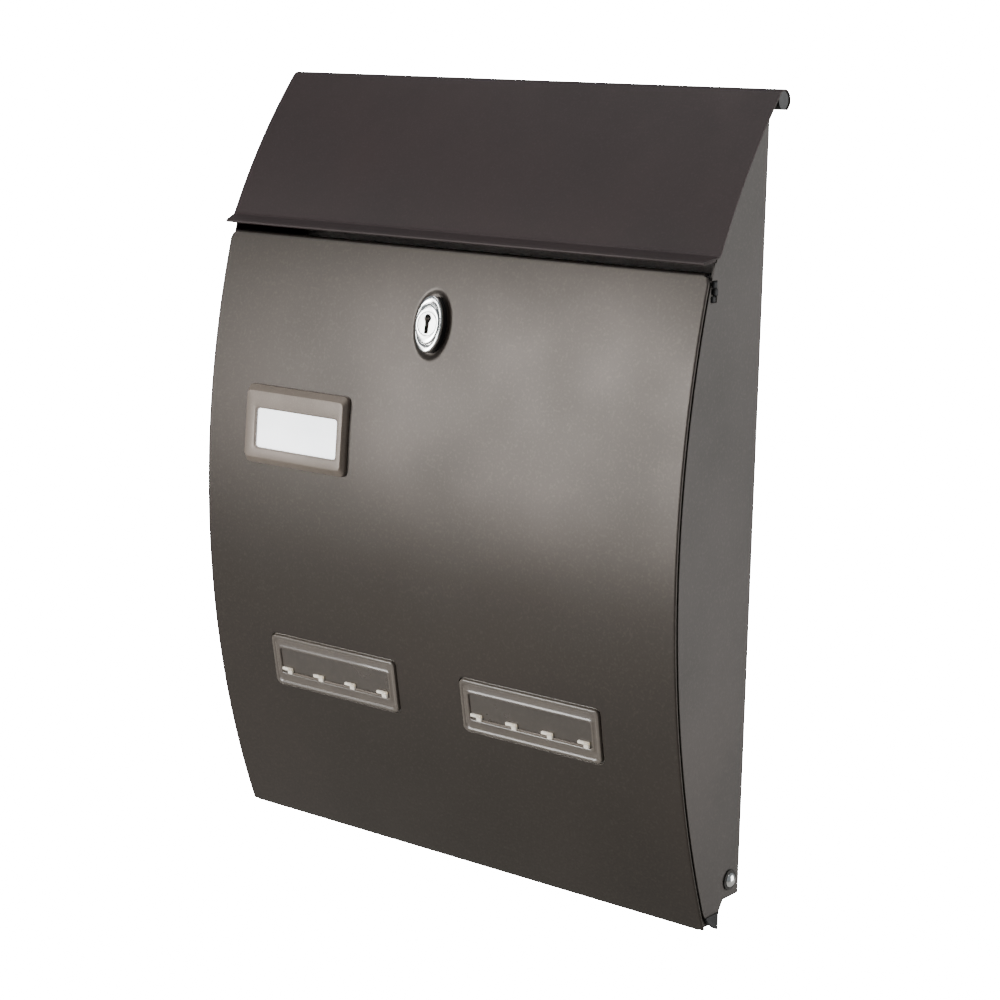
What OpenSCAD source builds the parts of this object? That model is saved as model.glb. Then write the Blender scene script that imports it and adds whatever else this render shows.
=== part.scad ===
// Wall-hung letter box of folded sheet steel: a bow-fronted door that drops forward on two
// rivets at its foot, a roof lid that lifts on a rod inside its rolled rear edge, and a cam lock.
// Profiles are drawn as (depth, height) pairs from the lower rear corner of the casing, with the
// front at minus depth, and are extruded along X. in_frame() then carries the whole model to the
// middle of the four wall holes, on the wall's face.

/* [Casing] */
// Width of the casing and of the door
body_w = 300; // [260:5:360]
// Thickness of the steel sheet
sheet = 0.8; // [0.7:0.05:1.0]
// How far the spacers hold the casing off the wall
stand_off = 15; // [15:0.5:24]
// Outside diameter of a wall spacer
spacer_d = 16; // [12:1:22]
// Diameter of a wall screw's hole
screw_hole_d = 6; // [4:0.5:7]
// Distance between the wall screws, across
screw_span_x = 220; // [120:5:230]
// Distance between the wall screws, up
screw_span_z = 280; // [120:5:290]
// Height of the lower wall screws above the casing's floor
screw_foot = 50; // [44:1:60]
// Width of the riveted flanges inside the casing
flange_w = 12; // [10:1:16]

/* [Door] */
// Height of the door from its lower edge to its upper edge
door_h = 319.2; // [300:1:390]
// How far the middle of the door bows out from a straight line between its edges
door_bow = 26.4; // [20:0.2:30]
// Depth of the door's lower edge, from the casing's rear face
door_foot_depth = 29.9; // [29:0.1:33]
// Depth of the door's upper edge
door_head_depth = 45.6; // [42:0.1:50]
// How far the door's lower edge hangs below the casing's floor
door_drop = 11.7; // [11:0.1:13]
// Depth of the door's folded sides
door_return = 9; // [6:0.5:9]
// Gap between the door's folded parts and the casing
door_gap = 0.9; // [0.6:0.1:1.2]
// Depth of the door's pivot, from the casing's rear face
pivot_depth = 8.5; // [8:0.1:9]
// Height of the door's pivot above the casing's floor
pivot_rise = 9; // [8.5:0.1:10]
// Diameter of a pivot rivet's shank
pivot_d = 5; // [4:0.1:5.5]

/* [Lid] */
// How far the lid overhangs the casing at each side
lid_overhang = 2.5; // [1.5:0.1:5]
// Height of the lid's hinge rod above the door's upper edge
lid_rise = 76.7; // [70:0.5:90]
// Distance of the hinge rod behind the casing's rear face
rod_back = 8.5; // [8:0.1:9]
// Radius of the lid's gentle curve
lid_radius = 340; // [250:10:500]
// Outside radius of the lid's rolled rear edge
curl_r = 5.2; // [5:0.1:5.6]
// Length of the lid's flared lip
lip_l = 9; // [8:0.2:14]
// How far each end of the lip is cut back at its tip
lip_taper = 3; // [0:0.5:6]
// Slope of the lip below level, in degrees
lip_slope = 15; // [5:1:25]
// Diameter of the hinge rod
rod_d = 4; // [3.5:0.1:4.5]
// Height of the letter slot between the door and the lip
slot_h = 4; // [3.2:0.1:6]
// Width of a hinge bracket
bracket_w = 24; // [16:1:34]
// Distance of each hinge bracket from the middle
bracket_x = 95; // [70:1:105]

/* [Lock] */
// Height of the lock below the door's upper edge
lock_drop = 36.2; // [34:0.1:42]
// Distance of the lock from the middle, towards the left
lock_x = 4.5; // [0:0.5:30]
// Width of the lock's oval head
lock_w = 16.5; // [16:0.5:20]
// Height of the lock's oval head
lock_h = 28; // [25:0.5:32]
// How far the pressed dish shows round the lock's head
dish_margin = 2.6; // [2:0.1:4]
// Depth of the pressed dish round the lock
dish_depth = 1.2; // [0.8:0.1:1.6]
// Diameter of the key plug
plug_d = 11.5; // [9:0.5:11.5]
// Length of the cam from its axis to its tip
cam_l = 24; // [20:1:28]

/* [Name plate] */
// Width of the name plate's frame
name_w = 69; // [60:1:84]
// Height of the name plate's frame
name_h = 41; // [36:1:50]
// Width of the visible card
card_w = 56; // [40:1:58]
// Height of the visible card
card_h = 20.5; // [14:0.5:24]
// Distance of the name plate from the middle, towards the left
name_x = 86.1; // [60:0.1:100]
// Height of the name plate's middle above the door's lower edge
name_rise = 222; // [190:1:235]

/* [Windows] */
// Width of a sight window's frame
window_w = 85; // [60:1:100]
// Height of a sight window's frame
window_h = 28; // [22:1:36]
// Width of the border at each end of a window's pane
window_rim = 5; // [3.5:0.5:6]
// Width of the border above and below a window's pane
window_band = 7; // [5:0.5:8]
// Gap round each window's face in its cut-out
window_gap = 0.9; // [0.5:0.1:1.5]
// Half the distance between the windows' middles
window_x = 64; // [52:1:75]
// Offset of the pair of windows to the left
window_shift = 1.2; // [0:0.1:3]
// Height of the windows' middle above the door's lower edge
window_rise = 95.2; // [60:1:120]
// Spacing of the hooks along a window
hook_pitch = 22; // [14:0.2:22.2]

/* [Hidden] */
$fn = 48;
arc_fn = 720;
eps = 0.01;
far = 900;
oval_sides = 64;

// Clearances
running = 0.06;
snap_gap = 0.3;
side_gap = 0.6;

// Casing
half_w = body_w / 2;
inner_x = half_w - sheet;
floor_inset = 4;
flange_x = inner_x - flange_w;
flange_foot = 24;
drain_r = 2.5;
rivet_r = 1.6;
rivet_head_r = 3.2;
rivet_head_t = 1.2;
rivet_foot = 60;
screw_z = [screw_foot, screw_foot + screw_span_z];
hole_height = screw_foot + screw_span_z / 2;

// Door: an arc through its lower and upper edges
door_low = [-door_foot_depth, -door_drop];
door_top = [-door_head_depth, door_h - door_drop];
door_chord = norm(door_top - door_low);
door_r = door_chord * door_chord / (8 * door_bow) + door_bow / 2;
chord_u = (door_top - door_low) / door_chord;
door_c = (door_low + door_top) / 2 + (door_r - door_bow) * [chord_u[1], -chord_u[0]];
door_a_low = atan2(door_low[1] - door_c[1], door_low[0] - door_c[0]) + 360;
door_a_top = atan2(door_top[1] - door_c[1], door_top[0] - door_c[0]);
hem_t = 2 * sheet;
casing_r = door_r - hem_t - door_gap;
ear_x1 = inner_x - side_gap;
ear_x0 = ear_x1 - sheet;
floor_x = ear_x0 - side_gap - floor_inset / 2;
top_return = 6;
foot_return = [-door_foot_depth + 13.9, -door_drop - 0.7];

// Door pivot
pivot = [-pivot_depth, pivot_rise];
pivot_r = pivot_d / 2;
pivot_reach = norm(pivot - door_c);
corner_r = casing_r - pivot_reach;
corner_a = atan2(pivot[1] - door_c[1], pivot[0] - door_c[0]);
corner_z = pivot[1] + corner_r * sin(corner_a);
ear_r = pivot_depth - sheet - 1.2;
floor_r = norm(foot_return - pivot) - 0.8;
floor_y = pivot[0] - sqrt(floor_r * floor_r - pivot_rise * pivot_rise);
notch_x = ear_x0 - sheet - side_gap;
notch_rise = pivot_rise + 3;
pivot_head_r = 3.7;
pivot_head_t = 2;
pivot_washer_r = 5.2;
pivot_washer_t = 0.8;
pivot_tail_r = 4;
pivot_tail_t = 1.2;

heel_y = -14;
heel_point = [-18, -6];
ear_rise = 34;
ear_step = 10;
ear_back = 0.8 * ear_r;

// Lid: an arc from the lip's bend, tangent to the rolled rear edge
rod = [rod_back, door_top[1] + lid_rise];
bend = [door_top[0] + 4.1, door_top[1] + slot_h + hem_t + lip_l * sin(lip_slope)];
rod_span = norm(rod - bend);
rod_u = (rod - bend) / rod_span;
tangent_r = lid_radius - curl_r;
along = (lid_radius * lid_radius - tangent_r * tangent_r + rod_span * rod_span) / (2 * rod_span);
across = sqrt(lid_radius * lid_radius - along * along);
lid_c = bend + along * rod_u + across * [rod_u[1], -rod_u[0]];
lid_a_low = atan2(bend[1] - lid_c[1], bend[0] - lid_c[0]);
lid_a_top = atan2(rod[1] - lid_c[1], rod[0] - lid_c[0]);
lid_half = half_w + lid_overhang;
lid_gap = 1.2;
curl_end_a = -60;
curl_in = curl_r - sheet;
lip_from = lid_c + (lid_radius - sheet / 2) * unit(lid_a_low);
lip_to = lip_from + lip_l * unit(180 + lip_slope);
hem_back = 6;
crown_foot = bend[1] - 3;
crown_low = bend[1] - 20;
crown_front = bend[0] + 5;
rod_r = rod_d / 2;
eye_r = rod_r + 1.2;
bush_l = 14;
bush_x = [-half_w + 20, 0, half_w - 20];
cap_r = curl_in - 0.12;
cap_t = 1.5;
cap_in = 0.5;
notch_gap = 1;

// Hinge brackets, in front of the back panel
back_top = rod[1] - 14.2;
bracket_foot = back_top - 20;
bracket_rivets = [5, 14];
bracket_y = -1.5 * sheet;
bracket_bend = [bracket_y, back_top + 1.2];

// Slot rail, behind the door's upper edge
rail_y = door_top[0] + 9;
rail_top = door_top[1] - 5;
rail_low = rail_top - 21;
rail_flange = 10;
rail_tab = 12;

// Bumpers on the front edges of the side panels
bumper_z = door_top[1] - 8;
bumper_h = 10;
bumper_d = 5;
bumper_t = 1.8;
bumper_gap = 0.5;
tip_top = -5;
tip_t = 1.4;

// Lock, square to the door's face
lock_z = door_top[1] - lock_drop;
dish_w = lock_w + 2 * dish_margin;
dish_h = lock_h + 2 * dish_margin;
plug_r = plug_d / 2;
barrel_r = plug_r + 1.9;
barrel_end = -16.5;
head_face = 4.4;
head_wall = 3.2;
head_step = 0.6;
head_plug = 0.3;
collar_wall = 1.6;
collar_rise = 5.4;
key_slot = [2.4, 9.6];
key_head_r = 2.1;
key_depth = 8;
nut_t = 3;
nut_rim = 3.2;
cam_face = -17.5;
cam_t = 2;
cam_w = 12;
stud_r = 3;
cam_nut_t = 2.6;
cam_nut_rim = 2.6;
stud_end = 0.8;

// Name plate
name_z = door_low[1] + name_rise;
name_open = [1.6, -1.75];
name_t = 4;
name_wall = 1.6;
name_step = 2;
name_collar = 3;
name_cut = [card_w + 2 * name_wall + 2 * snap_gap, card_h + 2 * name_wall + 2 * snap_gap];
lens_t = 0.8;
card_t = 0.4;
backplate_t = 1.2;
lens_depth = 0.9;
lens_seat = name_t - lens_depth - lens_t;
backplate_lip = 2.5;

// Windows
window_z = door_low[1] + window_rise;
pane_w = window_w - 2 * window_rim;
pane_h = window_h - 2 * window_band;
window_face = 1.2;
window_step = 1;
window_corner = 2.5;
window_flange = 4;
window_flange_t = 1.6;
// The flange stands clear of the bowed sheet at its upper and lower edges
window_seat = -sheet - pow(window_h / 2 + window_flange, 2) / (2 * door_r) - 0.1;
pane_t = 1.2;
pane_face = 0.2;
hook_w = 6.6;
hook_h = 3.2;
hook_t = 1.4;
hook_bar = 1.5;
hook_drop = 3;
hook_rib = 0.8;
hook_x = -0.6;

function unit(a) = [cos(a), sin(a)];
// A point of the door's outer face at height z, and the face's backward lean there
function door_at(z) = [door_c[0] - sqrt(door_r * door_r - pow(z - door_c[1], 2)), z];
function lean(z) = asin((z - door_c[1]) / door_r);

// ---- helpers ----

// Carries a piece from the casing's rear corner to the middle of the wall holes
module in_frame() translate([0, -stand_off, -hole_height]) children();

// Extrudes a (depth, height) profile from x0 to x1
module along_x(x0, x1) translate([x0, 0, 0]) rotate([90, 0, 90]) linear_extrude(x1 - x0) children();

// Puts a piece on the door's face: X across, Y up the face, Z straight out of it
module on_door(x, z) translate([x, door_at(z)[0], z]) rotate([90 - lean(z), 0, 0]) children();

// A pin along X whose ends are at x0 and x1
module pin_x(at, r, x0, x1) translate([x0, at[0], at[1]]) rotate([0, 90, 0]) cylinder(h = x1 - x0, r = r);

// A pie slice of radius far, from angle a0 to a1
module wedge(a0, a1) {
    steps = ceil((a1 - a0) / 45);
    polygon(concat([[0, 0]], [for (i = [0:steps]) far * unit(a0 + (a1 - a0) * i / steps)]));
}

// A curved strip of sheet between two angles, r being its outer radius
module ring_arc(c, r, t, a0, a1) translate(c) intersection() {
    difference() {
        circle(r = r, $fn = arc_fn);
        circle(r = r - t, $fn = arc_fn);
    }
    wedge(a0, a1);
}

// A straight strip of sheet with rounded ends, centred on the line from p to q
module strip(p, q, t) {
    d = q - p;
    translate(p) rotate(atan2(d[1], d[0])) translate([0, -t / 2]) square([norm(d), t]);
    for (end = [p, q]) translate(end) circle(r = t / 2);
}

// A centred rectangle with rounded corners
module rounded(w, h, r) {
    square([w, h - 2 * r], center = true);
    square([w - 2 * r, h], center = true);
    for (x = [-1, 1], y = [-1, 1]) translate([x * (w / 2 - r), y * (h / 2 - r)]) circle(r = r);
}

// An upright ellipse
module oval(w, h) polygon([
    for (i = [0:oval_sides - 1]) let (a = i * 360 / oval_sides) [w / 2 * cos(a), h / 2 * sin(a)]
]);

module at_screws() for (x = [-1, 1], z = screw_z) translate([x * screw_span_x / 2, 0, z]) children();

module both_sides() for (s = [0, 1]) mirror([s, 0, 0]) children();

// Where the side panels' flanges and the floor's flange are riveted to the back panel
module at_rivets() {
    rivet_x = half_w - sheet - flange_w / 2;
    rise = back_top - 2 * rivet_foot;
    both_sides() for (i = [0:2]) translate([rivet_x, 0, rivet_foot + i * rise / 2]) children();
    both_sides() translate([0.3 * body_w, 0, sheet + flange_w / 2]) children();
    for (s = [-1, 1], up = bracket_rivets) translate([s * bracket_x, 0, bracket_foot + up]) children();
}

// A round bar through a sheet, along Y, from y0 to y1
module bar_y(r, y0, y1) translate([0, y1, 0]) rotate([90, 0, 0]) cylinder(h = y1 - y0, r = r);

// ---- casing ----

module back_panel() in_frame() color([0.36, 0.35, 0.33]) difference() {
    translate([-inner_x, -sheet, 0]) cube([2 * inner_x, sheet, back_top]);
    // Room for the ears' lower edges to swing through the corners
    both_sides() translate([notch_x, -1 - sheet, -1]) cube([flange_w, sheet + 2, notch_rise + 1]);
    at_screws() bar_y(screw_hole_d / 2, -1 - sheet, 1);
    at_rivets() bar_y(rivet_r, -1 - sheet, 1);
}

// The region inside the casing's front arc and below the lid
module side_outline() difference() {
    intersection() {
        translate(door_c) circle(r = casing_r, $fn = arc_fn);
        polygon([
            [0, 0], [0, rod[1]], [-far / 4, rod[1]], [-far / 4, -far / 4], [heel_y, -far / 4], [heel_y, 0]
        ]);
        union() {
            translate([-far, corner_z]) square([far, far]);
            translate(pivot) circle(r = corner_r, $fn = 180);
        }
        union() {
            translate(lid_c) circle(r = lid_radius - sheet - lid_gap, $fn = arc_fn);
            translate([-far, -far]) square([far, far + crown_foot]);
        }
        translate([-far, -far]) square([far, far + crown_foot + 1]);
    }
    // The corner under the floor, where the door's foot folds up behind
    polygon([[heel_y, -far], [heel_y, 0], heel_point, [heel_point[0] - 0.5, -far]]);
}

// The side's upper edge, which follows the underside of the lid
module side_crown() intersection() {
    translate(lid_c) circle(r = lid_radius - sheet - lid_gap, $fn = arc_fn);
    polygon([
        [0, crown_low], [0, rod[1]], [-far / 4, rod[1]], [-far / 4, crown_foot],
        [crown_front, crown_foot], [crown_front, crown_low]
    ]);
}

module side_panel() {
    difference() {
        along_x(inner_x, half_w) {
            side_outline();
            side_crown();
        }
        pin_x(pivot, pivot_r, inner_x - 1, half_w + 1);
        bumper_block(snap_gap / 6);
        translate([0, -far / 2, tip_top - far]) cube([2 * half_w, far, far]);
    }
    difference() {
        translate([flange_x, -2 * sheet, flange_foot]) cube([flange_w + eps, sheet, back_top - flange_foot]);
        at_rivets() bar_y(rivet_r, -1 - 2 * sheet, 1);
    }
}

module side_panel_right() in_frame() color([0.41, 0.4, 0.38]) side_panel();

module side_panel_left() in_frame() color([0.41, 0.4, 0.38]) mirror([1, 0, 0]) side_panel();

module bottom_panel() in_frame() color([0.3, 0.29, 0.28]) difference() {
    union() {
        translate([-floor_x, floor_y, 0]) cube([2 * floor_x, -sheet - floor_y, sheet]);
        translate([-flange_x + 2, -2 * sheet, 0]) cube([2 * (flange_x - 2), sheet, sheet + flange_w]);
    }
    at_rivets() bar_y(rivet_r, -1 - 2 * sheet, 1);
    both_sides() translate([body_w / 4, floor_y / 2, -1]) cylinder(h = 2 + sheet, r = drain_r);
}

module slot_rail() in_frame() color([0.3, 0.29, 0.28]) {
    translate([-inner_x, rail_y, rail_low]) cube([2 * inner_x, sheet, rail_top - rail_low]);
    translate([-inner_x, rail_y, rail_top - sheet]) cube([2 * inner_x, rail_flange, sheet]);
    both_sides() translate([inner_x - sheet, rail_y, rail_low]) cube([sheet, rail_tab, rail_top - rail_low]);
}

module wall_spacers() in_frame() color([0.09, 0.09, 0.09]) at_screws() difference() {
    bar_y(spacer_d / 2, 0, stand_off);
    bar_y(screw_hole_d / 2, -1, stand_off + 1);
}

// Each rivet joins a flange or bracket to the back panel, with a low head on both faces
module casing_rivets() in_frame() color([0.3, 0.3, 0.3]) at_rivets() {
    bar_y(rivet_r, -2 * sheet, 0);
    bar_y(rivet_head_r, 0, rivet_head_t);
    bar_y(rivet_head_r, -2 * sheet - rivet_head_t, -2 * sheet);
}

// A foot on the back panel and a sloping strap that ends in an eye round the rod
module bracket_outline() difference() {
    union() {
        translate([-2 * sheet, bracket_foot]) square([sheet, bracket_bend[1] - bracket_foot]);
        strip(bracket_bend, rod, sheet);
        translate(rod) circle(r = eye_r);
    }
    translate(rod) circle(r = rod_r);
}

module hinge_brackets() in_frame() color([0.35, 0.34, 0.33]) both_sides() difference() {
    along_x(bracket_x - bracket_w / 2, bracket_x + bracket_w / 2) bracket_outline();
    at_rivets() bar_y(rivet_r, -1 - 2 * sheet, 1);
}

module hinge_rod() in_frame() color([0.72, 0.72, 0.72]) pin_x(rod, rod_r, -inner_x, inner_x);

// A plug on each end of the rod, just inside the lid's rolled edge
module rod_caps() in_frame() color([0.08, 0.08, 0.08]) both_sides() difference() {
    pin_x(rod, cap_r, inner_x - cap_t, lid_half - cap_in);
    pin_x(rod, rod_r, inner_x - cap_t - 1, inner_x);
}

module bumper_block(gap) {
    face = door_at(bumper_z + bumper_h / 2)[0] + hem_t + bumper_gap;
    translate([inner_x - eps - gap, face - gap, bumper_z - bumper_h / 2 - gap])
        cube([bumper_t + eps + 2 * gap, bumper_d + 2 * gap, bumper_h + 2 * gap]);
}

// The rubber foot under each side panel, which carries its outline down to a point
module foot_tip() along_x(inner_x, inner_x + tip_t) intersection() {
    side_outline();
    translate([-far / 2, tip_top - far]) square([far, far]);
}

// A rubber block clipped into a notch in each side panel's front edge, and a foot below it
module door_bumpers() in_frame() color([0.05, 0.05, 0.05]) both_sides() {
    difference() {
        bumper_block(0);
        translate([inner_x - 1, -far / 4, -far]) cube([1, far, 2 * far]);
    }
    foot_tip();
}

module pivot_rivets() in_frame() color([0.85, 0.84, 0.8]) both_sides() {
    head_x = half_w + pivot_washer_t;
    tail_x = ear_x0 - sheet - snap_gap;
    pin_x(pivot, pivot_r, tail_x - eps, head_x + eps);
    pin_x(pivot, pivot_tail_r, tail_x - pivot_tail_t, tail_x);
    translate([head_x, pivot[0], pivot[1]]) rotate([0, 90, 0]) intersection() {
        cylinder(h = pivot_head_t, r = pivot_head_r);
        translate([0, 0, pivot_head_t - 2 * pivot_head_r]) sphere(r = 2 * pivot_head_r, $fn = 96);
    }
}

module pivot_washers() in_frame() color([0.2, 0.19, 0.18]) both_sides() difference() {
    pin_x(pivot, pivot_washer_r, half_w, half_w + pivot_washer_t);
    pin_x(pivot, pivot_r, half_w - 1, half_w + pivot_washer_t + 1);
}

// ---- lid ----

module lid_profile() {
    ring_arc(lid_c, lid_radius, sheet, lid_a_top, lid_a_low);
    ring_arc(rod, curl_r, sheet, curl_end_a, lid_a_top + 2);
    strip(lip_from, lip_to, sheet);
    // The lip is folded back under itself
    under = sheet * unit(270 + lip_slope);
    strip(lip_to + under, lip_to + under + hem_back * unit(lip_slope), sheet);
    translate(lip_to + under / 2) circle(r = sheet);
}

module lid() in_frame() color([0.29, 0.26, 0.255]) difference() {
    along_x(-lid_half, lid_half) lid_profile();
    // The lip narrows towards its tip
    both_sides() translate([0, 0, lip_to[1] - lip_l]) linear_extrude(2 * lip_l)
        polygon([
            [lid_half, bend[0]],
            [lid_half - lip_taper, lip_to[0] - sheet],
            [lid_half + 1, lip_to[0] - lip_l]
        ]);
    // The rolled edge is cut away behind each bracket's strap
    both_sides() translate([bracket_x - bracket_w / 2 - notch_gap, rod[0] - 1.5, rod[1] - 2 * curl_r])
        cube([bracket_w + 2 * notch_gap, 2 * curl_r, 2 * curl_r + curl_r / 2]);
}

module lid_bushes() in_frame() color([0.08, 0.08, 0.08]) for (x = bush_x) difference() {
    pin_x(rod, curl_in, x - bush_l / 2, x + bush_l / 2);
    pin_x(rod, rod_r + running, x - bush_l, x + bush_l);
}

// ---- door ----

module door_skin_arc(t, a_low, a_top) ring_arc(door_c, door_r, t, a_top, a_low);

// The folded side of the door: the same arc, as deep as the fold
module door_side_outline() intersection() {
    door_skin_arc(door_return, door_a_low, door_a_top);
    translate([-far, door_low[1]]) square([2 * far, door_h]);
}

// The door's lower edge, folded back under the casing
module foot_fold() {
    start = door_low + [sheet / 2, sheet / 2];
    polygon([start, foot_return, foot_return + [0, sheet], start + [0.2 * sheet, sheet]]);
}

module front_door() in_frame() color([0.5, 0.48, 0.45]) difference() {
    union() {
        along_x(-half_w, half_w) door_skin_arc(sheet, door_a_low, door_a_top);
        both_sides() along_x(ear_x0, half_w) door_skin_arc(hem_t, door_a_low, door_a_top);
        both_sides() along_x(ear_x0, ear_x1) door_side_outline();
        along_x(-ear_x1, ear_x1) {
            foot_fold();
            translate(door_top + [sheet / 2, -1.5 * sheet]) square([top_return, sheet]);
        }
        on_door(-lock_x, lock_z) translate([0, 0, -dish_depth - sheet])
            linear_extrude(sheet + dish_depth - sheet / 2) oval(dish_w + 2 * sheet, dish_h + 2 * sheet);
    }
    on_door(-lock_x, lock_z) {
        translate([0, 0, -dish_depth]) linear_extrude(10) oval(dish_w, dish_h);
        translate([0, 0, -10]) cylinder(h = 20, r = barrel_r);
    }
    on_door(-name_x, name_z) translate([name_open[0], name_open[1], -10])
        linear_extrude(20) rounded(name_cut[0], name_cut[1], 2);
    for (side = [-1, 1]) on_door(side * window_x - window_shift, window_z) translate([0, 0, -10])
        linear_extrude(20)
            rounded(window_w + 2 * window_gap, window_h + 2 * window_gap, window_corner + window_gap);
}

// The ear reaches from the folded side back to the pivot rivet
module door_ear() difference() {
    along_x(ear_x0 - sheet, ear_x0) difference() {
        union() {
            translate(pivot) circle(r = ear_r);
            polygon([
                pivot + ear_back * unit(100),
                door_at(pivot[1] + ear_rise) + [door_return + 1, 0],
                door_at(pivot[1] + ear_rise) + [hem_t + 0.4, 0],
                door_at(pivot[1] + ear_step) + [hem_t + 0.4, 0],
                door_low + [hem_t + 1.2, 2.2 * sheet],
                foot_return + [0, 1.6 * sheet],
                pivot + ear_back * unit(-60)
            ]);
        }
        translate(pivot) circle(r = pivot_r + running);
    }
}

module door_ear_right() in_frame() color([0.42, 0.4, 0.38]) door_ear();

module door_ear_left() in_frame() color([0.42, 0.4, 0.38]) mirror([1, 0, 0]) door_ear();

module on_lock() in_frame() on_door(-lock_x, lock_z) children();

// An oval chrome head in three steps, and a round barrel through the door
module lock_housing() on_lock() color([0.86, 0.86, 0.86]) difference() {
    union() {
        translate([0, 0, -dish_depth]) linear_extrude(dish_depth + head_wall) oval(lock_w, lock_h);
        linear_extrude(head_wall + head_step / 2) oval(lock_w - 2 * head_step, lock_h - 2 * head_step);
        linear_extrude(head_face) oval(plug_d + 2 * collar_wall, plug_d + 2 * collar_wall + collar_rise);
        translate([0, 0, barrel_end]) cylinder(h = -barrel_end, r = barrel_r);
    }
    translate([0, 0, barrel_end - 1]) cylinder(h = head_face - barrel_end + 2, r = plug_r + running);
}

// A hexagon nut whose lower face is at z
module hex_nut(z, t, bore_r, rim) translate([0, 0, z]) difference() {
    cylinder(h = t, r = bore_r + rim, $fn = 6);
    translate([0, 0, -1]) cylinder(h = t + 2, r = bore_r);
}

module lock_nut() on_lock() color([0.7, 0.7, 0.68])
    hex_nut(-dish_depth - sheet - nut_t, nut_t, barrel_r, nut_rim);

// Keyway: a tall slot, wider at its top
module keyway() {
    square(key_slot, center = true);
    translate([0, key_slot[1] / 2 - key_head_r]) circle(r = key_head_r);
}

module lock_plug() on_lock() color([0.8, 0.8, 0.78]) difference() {
    union() {
        translate([0, 0, cam_face]) cylinder(h = head_face - head_plug - cam_face, r = plug_r);
        translate([0, 0, cam_face - cam_t - cam_nut_t - stud_end])
            cylinder(h = cam_t + cam_nut_t + stud_end + eps, r = stud_r);
    }
    translate([0, 0, head_face - head_plug - key_depth]) linear_extrude(key_depth + 1) keyway();
}

// The cam lies across, unlocked, and turns up behind the rail to lock
module lock_cam() on_lock() color([0.66, 0.65, 0.62]) translate([0, 0, cam_face - cam_t]) difference() {
    linear_extrude(cam_t) {
        circle(r = cam_w / 2 + 1);
        translate([-cam_l + cam_w / 2, -cam_w / 2]) square([cam_l - cam_w / 2, cam_w]);
        translate([-cam_l + cam_w / 2, 0]) circle(r = cam_w / 2);
    }
    translate([0, 0, -1]) cylinder(h = cam_t + 2, r = stud_r);
}

module cam_nut() on_lock() color([0.7, 0.7, 0.68])
    hex_nut(cam_face - cam_t - cam_nut_t, cam_nut_t, stud_r, cam_nut_rim);

// ---- name plate ----

module on_name() in_frame() on_door(-name_x, name_z) children();

// A moulded frame in two steps round the card, with a collar through the door
module name_frame() on_name() color([0.45, 0.42, 0.39]) difference() {
    union() {
        linear_extrude(name_t - name_step) rounded(name_w, name_h, 3);
        linear_extrude(name_t) rounded(name_w - 2 * name_step, name_h - 2 * name_step, 2.5);
        translate([name_open[0], name_open[1], -name_collar]) linear_extrude(name_collar + 1)
            rounded(name_cut[0] - 2 * snap_gap, name_cut[1] - 2 * snap_gap, 1.7);
    }
    translate([name_open[0], name_open[1], -name_collar - 1])
        linear_extrude(name_t + name_collar + 2) square([card_w, card_h], center = true);
}

module name_lens() on_name() color([0.9, 0.92, 0.93, 0.35])
    translate([name_open[0], name_open[1], lens_seat])
        linear_extrude(lens_t) square([card_w, card_h], center = true);

module name_card() on_name() color([0.96, 0.97, 0.98])
    translate([name_open[0], name_open[1], lens_seat - card_t])
        linear_extrude(card_t) square([card_w, card_h], center = true);

// A plate clipped over the collar, behind the door, which holds the card up to its lens
module name_backplate() on_name() color([0.12, 0.12, 0.12])
    translate([name_open[0], name_open[1], 0]) {
        translate([0, 0, -name_collar - backplate_t]) linear_extrude(backplate_t)
            rounded(name_cut[0] + 2 * backplate_lip, name_cut[1] + 2 * backplate_lip, 2);
        translate([0, 0, -name_collar])
            linear_extrude(name_collar + lens_seat - card_t) square([card_w - 1, card_h - 1], center = true);
    }

// ---- windows ----

module on_window(side) in_frame() on_door(side * window_x - window_shift, window_z) children();

// A clear moulded frame: a stepped face that fills the cut-out and a flange behind the door
module window_frame(side) on_window(side) color([0.62, 0.6, 0.56]) difference() {
    union() {
        translate([0, 0, window_seat])
            linear_extrude(window_face - window_seat - window_step / 2)
                rounded(window_w, window_h, window_corner);
        translate([0, 0, window_seat]) linear_extrude(window_face - window_seat)
            rounded(window_w - 2 * window_step, window_h - 2 * window_step, window_corner - 0.5);
        translate([0, 0, window_seat - window_flange_t]) linear_extrude(window_flange_t)
            rounded(window_w + 2 * window_flange, window_h + 2 * window_flange, window_corner + 0.5);
    }
    translate([0, 0, window_seat - window_flange_t - 1])
        linear_extrude(window_face - window_seat + window_flange_t + 2)
            square([pane_w, pane_h], center = true);
}

module window_frame_left() window_frame(-1);

module window_frame_right() window_frame(1);

module window_pane(side) on_window(side) color([0.5, 0.5, 0.48, 0.5])
    translate([0, 0, pane_face - pane_t]) linear_extrude(pane_t) square([pane_w, pane_h], center = true);

module window_pane_left() window_pane(-1);

module window_pane_right() window_pane(1);

// Four hooks on a thin rib along the foot of each pane, each turned down at one end
module window_hooks() color([0.88, 0.86, 0.8]) for (side = [-1, 1]) on_window(side)
    translate([hook_x, -pane_h / 2, pane_face]) {
        for (i = [-1.5:1.5]) translate([i * hook_pitch - hook_w / 2, 0, 0]) {
            translate([0, hook_h - hook_bar, 0]) cube([hook_w, hook_bar, hook_t]);
            translate([hook_w - hook_drop, 0, 0]) cube([hook_drop, hook_h, hook_t]);
        }
        translate([-1.5 * hook_pitch, 0, 0]) cube([3 * hook_pitch, hook_rib, hook_t / 2]);
    }

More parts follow.
